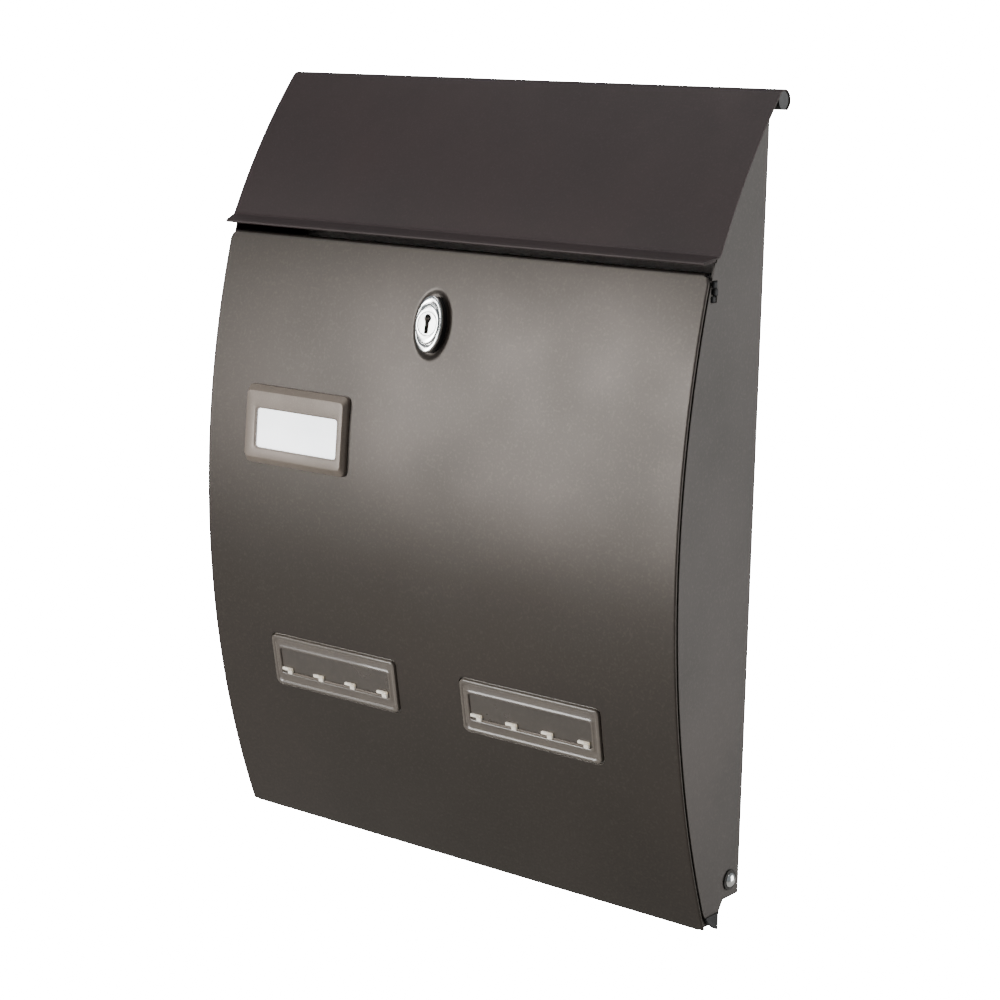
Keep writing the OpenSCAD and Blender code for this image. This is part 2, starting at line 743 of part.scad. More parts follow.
back_panel();
side_panel_left();
side_panel_right();
bottom_panel();
slot_rail();
wall_spacers();
casing_rivets();
hinge_brackets();
hinge_rod();
rod_caps();
door_bumpers();
pivot_rivets();
pivot_washers();
lid();
lid_bushes();
front_door();
door_ear_left();
door_ear_right();
lock_housing();
lock_nut();
name_frame();
name_card();
name_lens();
name_backplate();
window_frame_left();
window_frame_right();
window_pane_left();
window_pane_right();
window_hooks();
lock_plug();
lock_cam();
cam_nut();
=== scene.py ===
"""Detail model of a wall-hung steel letter box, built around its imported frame.

Shapes are drawn in millimetres from the casing's lower rear corner: X across, Y back (the front
is at minus Y) and Z up. Datum carries them into the frame, in metres.
"""
import sys
import logging
import math
from dataclasses import dataclass, field
from enum import Enum
from itertools import pairwise

import bmesh
import bpy
from bmesh.types import BMEdge, BMesh, BMVert
from mathutils import Matrix, Vector


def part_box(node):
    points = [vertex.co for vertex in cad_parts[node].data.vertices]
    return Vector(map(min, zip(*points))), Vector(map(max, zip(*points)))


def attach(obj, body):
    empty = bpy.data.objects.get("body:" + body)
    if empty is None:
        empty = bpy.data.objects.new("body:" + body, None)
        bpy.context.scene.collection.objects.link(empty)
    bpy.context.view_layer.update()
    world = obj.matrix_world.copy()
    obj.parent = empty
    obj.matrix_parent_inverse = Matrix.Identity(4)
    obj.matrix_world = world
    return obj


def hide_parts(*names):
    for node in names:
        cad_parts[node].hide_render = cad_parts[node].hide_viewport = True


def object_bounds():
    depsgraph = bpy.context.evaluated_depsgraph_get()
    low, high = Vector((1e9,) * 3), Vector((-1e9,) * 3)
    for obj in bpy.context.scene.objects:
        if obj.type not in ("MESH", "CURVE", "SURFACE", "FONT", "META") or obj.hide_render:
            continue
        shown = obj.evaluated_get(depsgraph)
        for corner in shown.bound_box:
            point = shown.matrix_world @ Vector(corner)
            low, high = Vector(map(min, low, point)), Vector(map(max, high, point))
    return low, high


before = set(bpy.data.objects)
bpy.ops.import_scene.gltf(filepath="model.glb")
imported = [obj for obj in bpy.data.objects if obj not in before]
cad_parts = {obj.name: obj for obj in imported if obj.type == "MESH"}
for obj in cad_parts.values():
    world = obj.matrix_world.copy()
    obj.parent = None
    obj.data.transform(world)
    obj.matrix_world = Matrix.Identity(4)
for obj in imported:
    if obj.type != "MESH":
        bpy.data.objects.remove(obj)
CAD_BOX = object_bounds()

log = logging.getLogger("letter_box")
MM = 0.001
SHEET = 0.8
# How near a point in millimetres must be to count as on a line
NEAR = 1e-3
# How near two points in millimetres must be to merge
MERGE = 1e-4
# The dot products of a face's normal and its rounded one, from plain face to full edge colour, the edge
# colour being partly wear and partly a painted highlight
EDGE_TURN = (0.995, 0.85)
# The middle part of a noise that is spread over a finish's whole range
DRIFT_SPAN = (0.3, 0.7)
SPECK_SPAN = (0.52, 0.72)
EDGE_PATCH_SPAN = (0.35, 0.6)

# Short names for Blender's types, and for (across, up) or (inset, height) pairs
Tree = bpy.types.NodeTree
Socket = bpy.types.NodeSocket
Thing = bpy.types.Object
Points = tuple[tuple[float, float], ...]


# ---- finishes ----


def linear(code: str) -> tuple[float, float, float, float]:
    """Turns an sRGB hex colour into linear RGBA.

    Args:
        code: Six hex digits, red first.

    Returns:
        Linear red, green, blue and a full alpha.
    """
    parts = [int(code[i : i + 2], 16) / 255 for i in (0, 2, 4)]
    return (*((c / 12.92 if c <= 0.04045 else ((c + 0.055) / 1.055) ** 2.4) for c in parts), 1.0)


def add(tree: Tree, kind: str, inputs: dict, **settings: object) -> bpy.types.Node:
    """Adds a node with its settings, its values and its links.

    Args:
        tree: The material's node tree.
        kind: The node's type, without its ShaderNode prefix.
        inputs: Socket name or number to a value, or to the output that feeds it.
        **settings: The node's own properties.

    Returns:
        The new node.
    """
    node = tree.nodes.new("ShaderNode" + kind)
    for key, value in settings.items():
        setattr(node, key, value)
    for key, value in inputs.items():
        if isinstance(value, bpy.types.NodeSocket):
            tree.links.new(value, node.inputs[key])
        else:
            node.inputs[key].default_value = value
    return node


@dataclass(frozen=True)
class Finish:
    """A surface's colour drift, specks, grain, pale edges that are partly wear and partly a painted
    highlight, an optional painted glow, and gloss, all sized in millimetres.
    """

    name: str
    colour: str
    drift: str
    speck: str
    # Edge colour: partly edge wear, partly a painted highlight along the edges
    edge: str
    roughness: float
    metallic: float = 0.0
    drift_mm: float = 60.0
    grain_mm: float = 1.2
    grain_depth_mm: float = 0.02
    rough_spread: float = 0.05
    speck_share: float = 0.3
    edge_mm: float = 0.6
    edge_share: float = 0.6
    coat: float = 0.0
    transmission: float = 0.0
    alpha: float = 1.0
    # Emission strength of a painted glow, which makes a part look lit though it is no lamp
    painted_glow: float = 0.0

    def material(self) -> bpy.types.Material:
        """Builds the finish's node tree.

        Returns:
            The material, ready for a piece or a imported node.
        """
        made = bpy.data.materials.new(self.name)
        made.use_nodes = True
        tree = made.node_tree
        tree.nodes.clear()
        place = add(tree, "TexCoord", {}).outputs["Object"]
        drift = self.noise(tree, place, self.drift_mm, 3.0)
        grain = self.noise(tree, place, self.grain_mm, 2.0)
        rounded = add(tree, "Bevel", {"Radius": self.edge_mm * MM}, samples=4).outputs["Normal"]
        flat = add(tree, "NewGeometry", {}).outputs["Normal"]
        turn = add(tree, "VectorMath", {0: rounded, 1: flat}, operation="DOT_PRODUCT").outputs["Value"]
        # Pale edge colour: partly edge wear, partly a painted highlight where edges would catch the
        # light
        edge_wear_and_highlight = self.spread(tree, turn, *EDGE_TURN, 0.0, self.edge_share)
        edge_patches = self.spread(tree, drift, *EDGE_PATCH_SPAN, 0.35, 1.0)
        edge_wear_and_highlight = add(tree, "Math", {0: edge_wear_and_highlight, 1: edge_patches}, operation="MULTIPLY").outputs[0]
        drifted = self.spread(tree, drift, *DRIFT_SPAN, 0.0, 1.0)
        colour = self.blend(tree, drifted, self.colour, self.drift)
        specks = self.spread(tree, grain, *SPECK_SPAN, 0.0, self.speck_share)
        colour = self.blend(tree, specks, colour, self.speck)
        colour = self.blend(tree, edge_wear_and_highlight, colour, self.edge)
        low, high = self.roughness - self.rough_spread, self.roughness + self.rough_spread
        roughness = self.spread(tree, drift, *DRIFT_SPAN, low, high)
        bump = {"Height": grain, "Distance": self.grain_depth_mm * MM, "Normal": rounded}
        shader = add(
            tree,
            "BsdfPrincipled",
            {
                "Base Color": colour,
                "Roughness": roughness,
                "Metallic": self.metallic,
                "Coat Weight": self.coat,
                "Transmission Weight": self.transmission,
                "Alpha": self.alpha,
                # Painted glow: the surface emits its own colour, standing in for light falling on it
                "Emission Color": colour,
                "Emission Strength": self.painted_glow,
                "Normal": add(tree, "Bump", bump).outputs["Normal"],
            },
        )
        add(tree, "OutputMaterial", {"Surface": shader.outputs["BSDF"]})
        return made

    @staticmethod
    def noise(tree: Tree, place: Socket, size_mm: float, detail: float) -> Socket:
        """Returns the value of a noise whose features are about size_mm across."""
        inputs = {"Vector": place, "Scale": 1 / (size_mm * MM), "Detail": detail}
        return add(tree, "TexNoise", inputs).outputs["Fac"]

    @staticmethod
    def spread(
        tree: Tree, value: Socket, low: float, high: float, start: float, end: float
    ) -> Socket:
        """Returns value carried, within limits, from low and high to start and end."""
        inputs = {"Value": value, "From Min": low, "From Max": high, "To Min": start, "To Max": end}
        return add(tree, "MapRange", inputs).outputs["Result"]

    @staticmethod
    def blend(tree: Tree, share: Socket, first: str | Socket, second: str | Socket) -> Socket:
        """Returns a mix of two colours, each given as hex digits or as an output."""
        pair = [linear(c) if isinstance(c, str) else c for c in (first, second)]
        return add(tree, "Mix", {0: share, 6: pair[0], 7: pair[1]}, data_type="RGBA").outputs[2]


# The pale edge colours of the three coats below are partly edge wear and partly a painted highlight
# along hems, lips and folds.
# Powder coat with metal flake: a soft sheen that follows the bow, with a fine orange peel
DOOR_COAT = Finish(
    "gunmetal_powder_coat", "3E3833", "37322D", "575048", "867E75", 0.38,
    metallic=0.55, drift_mm=90, grain_mm=1.3, grain_depth_mm=0.018, speck_share=0.2,
    edge_mm=0.5, edge_share=0.55,
)
# The casing's powder coat: a little darker and flatter than the door's
CASING_COAT = Finish(
    "taupe_powder_coat", "3B3531", "34302C", "4E4742", "70685F", 0.46,
    metallic=0.35, drift_mm=80, grain_mm=1.3, grain_depth_mm=0.022, speck_share=0.3,
    edge_mm=0.5, edge_share=0.6,
)
# Dark brown matt powder coat: almost no sheen, with a dry fine grain
LID_COAT = Finish(
    "dark_brown_matt_coat", "281A19", "201413", "36262A", "85776F", 0.58,
    metallic=0.15, drift_mm=70, grain_mm=1.0, grain_depth_mm=0.02, speck_share=0.3,
    edge_mm=0.5, edge_share=0.6,
)
# Zinc plate: a pale grey metal with soft cloudy passivation
ZINC = Finish(
    "zinc_plate", "BEBCB6", "A9A7A0", "D6D4CE", "E2E0DA", 0.34,
    metallic=1.0, drift_mm=14, grain_mm=0.7, grain_depth_mm=0.006, edge_mm=0.3,
)
# Polished chrome plate: a mirror with a very slight waviness
CHROME = Finish(
    "polished_chrome", "E6E6E4", "D2D2D0", "F2F2F0", "FFFFFF", 0.14,
    metallic=1.0, drift_mm=6, grain_mm=2.2, grain_depth_mm=0.006, rough_spread=0.04,
    speck_share=0.1, edge_mm=0.25, edge_share=0.5,
)
# Pressed fibre: dull, dark and slightly furry at its edge
FIBRE = Finish(
    "pressed_fibre", "2B2825", "1F1C1A", "3A3632", "4A453F", 0.8,
    drift_mm=5, grain_mm=0.5, grain_depth_mm=0.03, edge_mm=0.3,
)
# Moulded black polypropylene: a soft satin
BLACK_MOULDING = Finish(
    "black_polypropylene", "1D1D1D", "151515", "262626", "3A3A3A", 0.5,
    drift_mm=20, grain_mm=0.6, grain_depth_mm=0.015, edge_mm=0.4,
)
# Black rubber: matt, with a bloom on its edges
RUBBER = Finish(
    "black_rubber", "171717", "101010", "222120", "33312F", 0.72,
    drift_mm=8, grain_mm=0.5, grain_depth_mm=0.03, edge_mm=0.5,
)
# Moulded ABS with a spark-eroded grain: taupe, satin, paler at its edges
NAME_PLASTIC = Finish(
    "grained_abs", "766B61", "6B6157", "887C71", "A1968A", 0.42,
    metallic=0.2, drift_mm=25, grain_mm=0.7, grain_depth_mm=0.02, edge_mm=0.5, edge_share=0.7,
)
# Clear polystyrene: a glossy sheet with faint handling marks
CLEAR = Finish(
    "clear_polystyrene", "F4F6F7", "EDF0F1", "FFFFFF", "FFFFFF", 0.08,
    drift_mm=18, grain_mm=3.0, grain_depth_mm=0.003, rough_spread=0.04, speck_share=0.1,
    edge_mm=0.2, alpha=0.1,
)
# Smoked styrene moulding: glossy, with pale rims painted at the edges as a highlight
WINDOW_PLASTIC = Finish(
    "smoked_styrene", "5E564D", "524A43", "70675C", "C4BBAE", 0.34,
    drift_mm=20, grain_mm=1.0, grain_depth_mm=0.012, edge_mm=0.5, edge_share=0.9, coat=0.4,
)
# Smoked pane: dark, glossy and slightly rippled
PANE_PLASTIC = Finish(
    "smoked_pane", "4F4740", "463F38", "5A5148", "7C7368", 0.3,
    drift_mm=16, grain_mm=2.4, grain_depth_mm=0.01, edge_mm=0.3, coat=0.3, transmission=0.25,
)
# Cream acetal hooks: smooth and softly glossy, with a faint painted glow that makes them look lit
HOOK_PLASTIC = Finish(
    "cream_acetal", "EFE8DA", "E4DCCC", "F8F3E8", "FFFCF4", 0.3,
    drift_mm=6, grain_mm=0.5, grain_depth_mm=0.006, edge_mm=0.3, coat=0.2, painted_glow=0.25,
)
# Uncoated card: white with a strong painted glow that stands in for the light falling on it, and a
# faint grey thumb mark
CARD = Finish(
    "white_card", "FBFCFD", "F1F3F6", "FFFFFF", "E9EAEC", 0.85,
    drift_mm=22, grain_mm=0.35, grain_depth_mm=0.01, edge_mm=0.2, painted_glow=2.4,
)


# ---- shared shaping tools ----


def only(made: dict, kind: type, key: str = "geom") -> list:
    """Returns the items of one kind from an operator's result."""
    return [item for item in made[key] if isinstance(item, kind)]


def unit(angle: float) -> Vector:
    """Returns the (depth, height) direction at an angle in radians."""
    return Vector((math.cos(angle), math.sin(angle)))


def extruded(bm: BMesh, edges: list[BMEdge]) -> tuple[list[BMVert], list[BMEdge]]:
    """Extrudes edges in place.

    Args:
        bm: The mesh being shaped.
        edges: The edges to extrude.

    Returns:
        The new vertices and the new far edges.
    """
    made = bmesh.ops.extrude_edge_only(bm, edges=edges)
    verts = only(made, BMVert)
    known = set(verts)
    return verts, [e for e in only(made, BMEdge) if known.issuperset(e.verts)]


@dataclass
class Chain:
    """A chain of edges in the YZ plane, drawn by lines and arcs from its last point."""

    bm: BMesh
    start: Vector
    tip: BMVert = field(init=False)

    def __post_init__(self) -> None:
        """Places the first point."""
        self.tip = self.bm.verts.new((0.0, *self.start))

    def line(self, end: Vector) -> None:
        """Draws a straight stretch to a (depth, height) point."""
        self.tip = only(bmesh.ops.extrude_vert_indiv(self.bm, verts=[self.tip]), BMVert, "verts")[0]
        self.tip.co = (0.0, *end)

    def arc(self, centre: Vector, angle: float, steps: int) -> None:
        """Draws an arc round a (depth, height) centre, through an angle in radians."""
        spun = bmesh.ops.spin(
            self.bm, geom=[self.tip], cent=(0.0, *centre), axis=(1, 0, 0), angle=angle, steps=steps
        )
        self.tip = only(spun, BMVert, "geom_last")[0]


@dataclass
class Rings:
    """Rings of one outline, each joined to the last by a wall."""

    bm: BMesh
    edges: list[BMEdge]
    width: float
    height: float
    centre: Vector
    first: list[BMEdge] = field(init=False)

    def __post_init__(self) -> None:
        """Remembers the first ring, so that the wall can close on it."""
        self.first = list(self.edges)

    @classmethod
    def oval(cls, bm: BMesh, width: float, height: float, z: float, sides: int = 64) -> "Rings":
        """Starts from an oval outline.

        Args:
            bm: The mesh being shaped.
            width: The outline's width.
            height: The outline's height.
            z: The outline's height off the face.
            sides: Facets round it.

        Returns:
            The rings, with the outline as the first.
        """
        bmesh.ops.create_circle(bm, segments=sides, radius=0.5, cap_ends=False)
        bmesh.ops.scale(bm, vec=(width, height, 1), verts=bm.verts)
        bmesh.ops.translate(bm, vec=(0, 0, z), verts=bm.verts)
        return cls(bm, list(bm.edges), width, height, Vector((0, 0, z)))

    @classmethod
    def box(
        cls, bm: BMesh, width: float, height: float, z: float, radius: float,
        shift: tuple[float, float] = (0.0, 0.0), segments: int = 6,
    ) -> "Rings":
        """Starts from a rectangle with rounded corners.

        Args:
            bm: The mesh being shaped.
            width: The outline's width.
            height: The outline's height.
            z: The outline's height off the face.
            radius: The corners' radius.
            shift: The outline's middle.
            segments: Facets in each corner.

        Returns:
            The rings, with the outline as the first.
        """
        bmesh.ops.create_grid(bm, x_segments=1, y_segments=1, size=0.5)
        bmesh.ops.scale(bm, vec=(width, height, 1), verts=bm.verts)
        corners = list(bm.verts)
        bmesh.ops.bevel(
            bm, geom=corners, offset=radius, offset_type="OFFSET", affect="VERTICES",
            segments=segments, profile=0.5, material=-1,
        )
        bmesh.ops.delete(bm, geom=list(bm.faces), context="FACES_ONLY")
        bmesh.ops.translate(bm, vec=(*shift, z), verts=bm.verts)
        return cls(bm, list(bm.edges), width, height, Vector((*shift, z)))

    def ring(
        self, width: float, height: float, z: float, shift: tuple[float, float] | None = None
    ) -> None:
        """Adds a ring.

        Args:
            width: The ring's width.
            height: The ring's height.
            z: The ring's height off the face.
            shift: The ring's middle, or None where it stays.
        """
        centre = Vector((*(shift if shift is not None else self.centre[:2]), z))
        verts, self.edges = extruded(self.bm, self.edges)
        size = Matrix.Diagonal((width / self.width, height / self.height, 1, 1))
        move = Matrix.Translation(centre) @ size @ Matrix.Translation(-self.centre)
        bmesh.ops.transform(self.bm, matrix=move, verts=verts)
        self.width, self.height, self.centre = width, height, centre

    def close(self) -> None:
        """Joins the last ring to the first."""
        bmesh.ops.bridge_loops(self.bm, edges=self.edges + self.first)


def block(bm: BMesh, low: tuple, high: tuple, edge: float) -> None:
    """Adds a block with rounded edges.

    Args:
        bm: The mesh it joins.
        low: Its lowest corner.
        high: Its highest corner.
        edge: The rounding of its edges.
    """
    middle = (Vector(low) + Vector(high)) / 2
    size = Matrix.Diagonal((*(Vector(high) - Vector(low)), 1))
    made = bmesh.ops.create_cube(bm, size=1.0, matrix=Matrix.Translation(middle) @ size)
    edges = list({e for v in made["verts"] for e in v.link_edges})
    bmesh.ops.bevel(
        bm, geom=edges, offset=edge, offset_type="OFFSET", affect="EDGES", segments=2,
        profile=0.5, material=-1,
    )


def turned(bm: BMesh, outline: list[tuple[float, float]], move: Matrix, sides: int = 40) -> None:
    """Adds a shape turned about Z.

    Args:
        bm: The mesh it joins.
        outline: (radius, height) points along its section.
        move: Where the shape goes.
        sides: Facets round it.
    """
    first = bm.verts.new((outline[0][0], 0, outline[0][1]))
    verts, edges, tip = [first], [], first
    for radius, height in outline[1:]:
        made = bmesh.ops.extrude_vert_indiv(bm, verts=[tip])
        tip = made["verts"][0]
        tip.co = (radius, 0, height)
        verts.append(tip)
        edges.append(made["edges"][0])
    before = set(bm.verts) - set(verts)
    bmesh.ops.spin(
        bm, geom=verts + edges, cent=(0, 0, 0), axis=(0, 0, 1), angle=math.tau, steps=sides,
        use_merge=True,
    )
    mine = [v for v in bm.verts if v not in before]
    bmesh.ops.remove_doubles(bm, verts=mine, dist=MERGE)
    mine = [v for v in bm.verts if v not in before]
    bmesh.ops.transform(bm, matrix=move, verts=mine)


@dataclass(frozen=True)
class Datum:
    """Where the casing's lower rear corner stands in the frame."""

    origin: Vector

    @classmethod
    def from_frame(cls) -> "Datum":
        """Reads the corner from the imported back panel."""
        low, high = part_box("back_panel")
        return cls(Vector((0.0, high.y, low.z)))

    def placed(self) -> Matrix:
        """Returns the transform from casing millimetres to frame metres."""
        return Matrix.Translation(self.origin) @ Matrix.Scale(MM, 4)


@dataclass(frozen=True)
class Piece:
    """How a finished mesh joins the object."""

    name: str
    body: str
    slot: str
    finish: Finish
    nodes: tuple[str, ...]
    sheet: float = 0.0
    edge: float = 0.0
    smooth: float = 38.0

    def made(self, bm: BMesh, place: Matrix, outward: tuple | None = None) -> Thing:
        """Turns the mesh into an object on its body.

        Args:
            bm: The shaped mesh, which is used up.
            place: The transform into the frame, in metres.
            outward: The way most of an open sheet faces, or None for a closed shape.

        Returns:
            The object.
        """
        bmesh.ops.remove_doubles(bm, verts=bm.verts, dist=MERGE)
        bmesh.ops.recalc_face_normals(bm, faces=bm.faces)
        if outward and sum(f.normal.dot(Vector(outward)) * f.calc_area() for f in bm.faces) < 0:
            bmesh.ops.reverse_faces(bm, faces=bm.faces)
        mesh = bpy.data.meshes.new(self.name)
        bm.to_mesh(mesh)
        bm.free()
        mesh.transform(place)
        mesh.shade_smooth()
        mesh.set_sharp_from_angle(angle=math.radians(self.smooth))
        mesh.materials.append(Wardrobe.material(self.finish))
        thing = bpy.data.objects.new(self.name, mesh)
        bpy.context.scene.collection.objects.link(thing)
        if self.sheet:
            wall = thing.modifiers.new("sheet", "SOLIDIFY")
            wall.thickness, wall.offset, wall.use_even_offset = self.sheet * MM, -1, True
        if self.edge:
            rounding = thing.modifiers.new("edge", "BEVEL")
            rounding.width, rounding.segments = self.edge * MM, 2
            rounding.limit_method, rounding.angle_limit = "ANGLE", math.radians(self.smooth)
            rounding.harden_normals = True
        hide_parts(*self.nodes)
        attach(thing, self.body)
        log.info("%s: %d faces, for %s", self.name, len(mesh.polygons), ", ".join(self.nodes))
        return thing


class Wardrobe:
    """The materials in use, each made once."""

    made: dict[str, bpy.types.Material] = {}

    @classmethod
    def material(cls, finish: Finish) -> bpy.types.Material:
        """Finds a finish's material, or makes it.

        Args:
            finish: The finish.

        Returns:
            The one material of that finish.
        """
        if finish.name not in cls.made:
            cls.made[finish.name] = finish.material()
        return cls.made[finish.name]

    @classmethod
    def dress(cls, finish: Finish, *nodes: str) -> None:
        """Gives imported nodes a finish, and leaves their meshes alone.

        Args:
            finish: The finish they get.
            *nodes: The nodes' names.
        """
        for name in nodes:
            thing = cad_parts[name]
            if not thing.data.materials:
                thing.data.materials.append(None)
            for index in range(len(thing.data.materials)):
                thing.data.materials[index] = cls.material(finish)
            log.info("%s: packed shape in %s", name, finish.name)


# ---- the door ----


@dataclass(frozen=True)
class DoorFace:
    """The door's outer face: an arc through its lower and upper edges."""

    foot: tuple[float, float] = (-29.9, -11.7)
    head: tuple[float, float] = (-45.6, 307.5)
    bow: float = 26.4

    @property
    def radius(self) -> float:
        """Returns the arc's radius."""
        chord = (Vector(self.head) - Vector(self.foot)).length
        return chord * chord / (8 * self.bow) + self.bow / 2

    @property
    def centre(self) -> Vector:
        """The arc's (depth, height) centre.

        Returns:
            The centre, behind the door.
        """
        low, high = Vector(self.foot), Vector(self.head)
        along = (high - low).normalized()
        return (low + high) / 2 + (self.radius - self.bow) * Vector((along.y, -along.x))

    def lean(self, height: float) -> float:
        """Returns the face's backward lean at a height, in radians."""
        return math.asin((height - self.centre.y) / self.radius)

    def along(self, height: float) -> float:
        """Returns the distance up the face from its lower edge to a height."""
        return self.radius * (self.lean(height) - self.lean(self.foot[1]))

    def bent(self, x: float, behind: float, along: float) -> Vector:
        """Carries a point of the flat door onto the arc.

        Args:
            x: Distance across from the middle.
            behind: Distance behind the outer face.
            along: Distance up the face.

        Returns:
            The point, in casing millimetres.
        """
        lean = along / self.radius + self.lean(self.foot[1])
        reach = self.radius - behind
        return Vector(
            (x, self.centre.x - reach * math.cos(lean), self.centre.y + reach * math.sin(lean))
        )

    def on_face(self, x: float, height: float) -> Matrix:
        """Returns the transform that sets a piece on the face: X across, Y up it, Z out of it."""
        point = self.bent(x, 0.0, self.along(height))
        return Matrix.Translation(point) @ Matrix.Rotation(math.pi / 2 - self.lean(height), 4, "X")


@dataclass(frozen=True)
class Opening:
    """A cut-out through the door's sheet."""

    x: float
    height: float
    width: float
    rise: float
    radius: float


@dataclass
class Door:
    """The bowed door's folded sheet."""

    datum: Datum
    face: DoorFace
    half_width: float = 150.0
    wall: float = 0.76
    roll: float = 0.8
    hem_x: float = 148.6
    return_depth: float = 9.0
    corner: float = 3.6
    fold_half: float = 146.6
    fold_radius: float = 1.2
    top_fold: float = 4.6
    foot_fold: float = 12.4
    foot_rise: float = -0.05
    pitch: float = 4.0
    lock: tuple[float, float] = (-4.5, 271.3)
    dish: tuple[float, float, float] = (22.4, 33.9, 1.2)
    dish_pitch: float = 0.8
    dish_rim: float = 1.06
    dish_slope: float = 0.2
    corner_cuts: tuple[float, ...] = (0.15, 0.35, 0.6, 1.0)
    low_trim: float = 0.8
    trim_reach: float = 20.0
    rounding: float = 0.15
    openings: tuple[Opening, ...] = (
        Opening(-84.5, 208.6, 59.8, 24.3, 1.6),
        Opening(-65.2, 83.5, 86.8, 29.8, 3.4),
        Opening(62.8, 83.5, 86.8, 29.8, 3.4),
    )

    def stations(self, low: float, high: float, extra: list[float]) -> list[float]:
        """Lists the evenly spaced cuts and the extra ones, without near repeats.

        Args:
            low: Where the skin starts.
            high: Where it ends.
            extra: Cuts that must be there.

        Returns:
            All the cuts, in order.
        """
        count = round((high - low) / self.pitch)
        even = [low + (high - low) * i / count for i in range(1, count)]
        kept = sorted(extra)
        kept += [v for v in even if all(abs(v - k) > self.dish_pitch / 2 for k in kept)]
        return sorted(kept)

    def cuts(self, middle: float, size: float, radius: float) -> list[float]:
        """Returns an opening's cut lines, with those that round its corners."""
        half = size / 2
        return [middle + s * (half - back) for s in (-1, 1) for back in (0, radius / 2, radius)]

    def flat_skin(self, top: float) -> BMesh:
        """Builds the flat skin with its openings.

        Args:
            top: Distance up the face to the upper edge.

        Returns:
            The skin in the XZ plane, Z being the distance up the face.
        """
        bm = bmesh.new()
        edge = self.half_width - self.roll
        bmesh.ops.create_grid(bm, x_segments=1, y_segments=1, size=0.5)
        upright = Matrix.Rotation(math.pi / 2, 4, "X")
        size = Matrix.Diagonal((2 * edge, top, 1, 1))
        lift = Matrix.Translation((0, 0, top / 2))
        bmesh.ops.transform(bm, matrix=lift @ upright @ size, verts=bm.verts)
        across = [s * (edge - self.corner * k) for s in (-1, 1) for k in self.corner_cuts]
        across += [-self.fold_half, self.fold_half]
        upward = [top - self.corner * k for k in self.corner_cuts]
        for hole in self.openings:
            across += self.cuts(hole.x, hole.width, hole.radius)
            upward += self.cuts(self.face.along(hole.height), hole.rise, hole.radius)
        lock_x, lock_up = self.lock[0], self.face.along(self.lock[1])
        for lines, middle, size in ((across, lock_x, self.dish[0]), (upward, lock_up, self.dish[1])):
            count = math.ceil((size + 2) / 2 / self.dish_pitch)
            lines += [middle + i * self.dish_pitch for i in range(-count, count + 1)]
        for x in self.stations(-edge, edge, across):
            self.cut(bm, (x, 0, 0), (1, 0, 0))
        for z in self.stations(0.0, top, upward):
            self.cut(bm, (0, 0, z), (0, 0, 1))
        for hole in self.openings:
            self.open_up(bm, hole)
        return bm

    @staticmethod
    def cut(bm: BMesh, point: tuple, normal: tuple) -> None:
        """Cuts the skin along a plane."""
        geom = [*bm.verts, *bm.edges, *bm.faces]
        bmesh.ops.bisect_plane(bm, geom=geom, dist=1e-5, plane_co=point, plane_no=normal)

    def open_up(self, bm: BMesh, hole: Opening) -> None:
        """Removes an opening's faces and rounds its corners.

        Args:
            bm: The flat skin, cut along the opening's edges.
            hole: The opening.
        """
        up = self.face.along(hole.height)
        inside = [
            f for f in bm.faces
            if abs(f.calc_center_median().x - hole.x) < hole.width / 2
            and abs(f.calc_center_median().z - up) < hole.rise / 2
        ]
        bmesh.ops.delete(bm, geom=inside, context="FACES")
        for vert in bm.verts:
            reach = Vector((abs(vert.co.x - hole.x), abs(vert.co.z - up)))
            over = reach - Vector((hole.width / 2 - hole.radius, hole.rise / 2 - hole.radius))
            if min(over) > 0 and max(over) < hole.radius + NEAR:
                over = over.normalized() * hole.radius - over
                vert.co.x += over.x * math.copysign(1, vert.co.x - hole.x)
                vert.co.z += over.y * math.copysign(1, vert.co.z - up)

    def fold_sides(self, bm: BMesh) -> None:
        """Rolls each side edge back on itself, and turns its end in along the casing.

        Args:
            bm: The flat skin.
        """
        edge = self.half_width - self.roll
        for side in (-1, 1):
            rim = [e for e in bm.edges if all(abs(v.co.x - side * edge) < NEAR for v in e.verts)]
            verts = list({v for e in rim for v in e.verts})
            spun = bmesh.ops.spin(
                bm, geom=verts + rim, cent=(side * edge, self.roll, 0), axis=(0, 0, 1),
                angle=side * math.pi, steps=8,
            )
            verts, rim = extruded(bm, only(spun, BMEdge, "geom_last"))
            for vert in verts:
                vert.co.x = side * self.hem_x
            verts, rim = extruded(bm, rim)
            bmesh.ops.translate(bm, verts=verts, vec=(0, self.return_depth - 2 * self.roll, 0))

    def press_dish(self, bm: BMesh) -> None:
        """Presses the oval dish that the lock sits in.

        Args:
            bm: The flat skin.
        """
        width, height, depth = self.dish
        x, up = self.lock[0], self.face.along(self.lock[1])
        for vert in bm.verts:
            reach = math.hypot(2 * (vert.co.x - x) / width, 2 * (vert.co.z - up) / height)
            share = min(max((self.dish_rim - reach) / self.dish_slope, 0.0), 1.0)
            vert.co.y += depth * share * share * (3 - 2 * share)

    def round_corners(self, bm: BMesh, top: float) -> None:
        """Rounds the two upper corners.

        Args:
            bm: The flat skin.
            top: Distance up the face to the upper edge.
        """
        for vert in bm.verts:
            past = abs(vert.co.x) - self.half_width + self.corner
            over = Vector((past, vert.co.z - top + self.corner))
            if min(over) > 0:
                over *= max(over) / over.length - 1
                vert.co.x += over.x * math.copysign(1, vert.co.x)
                vert.co.z += over.y

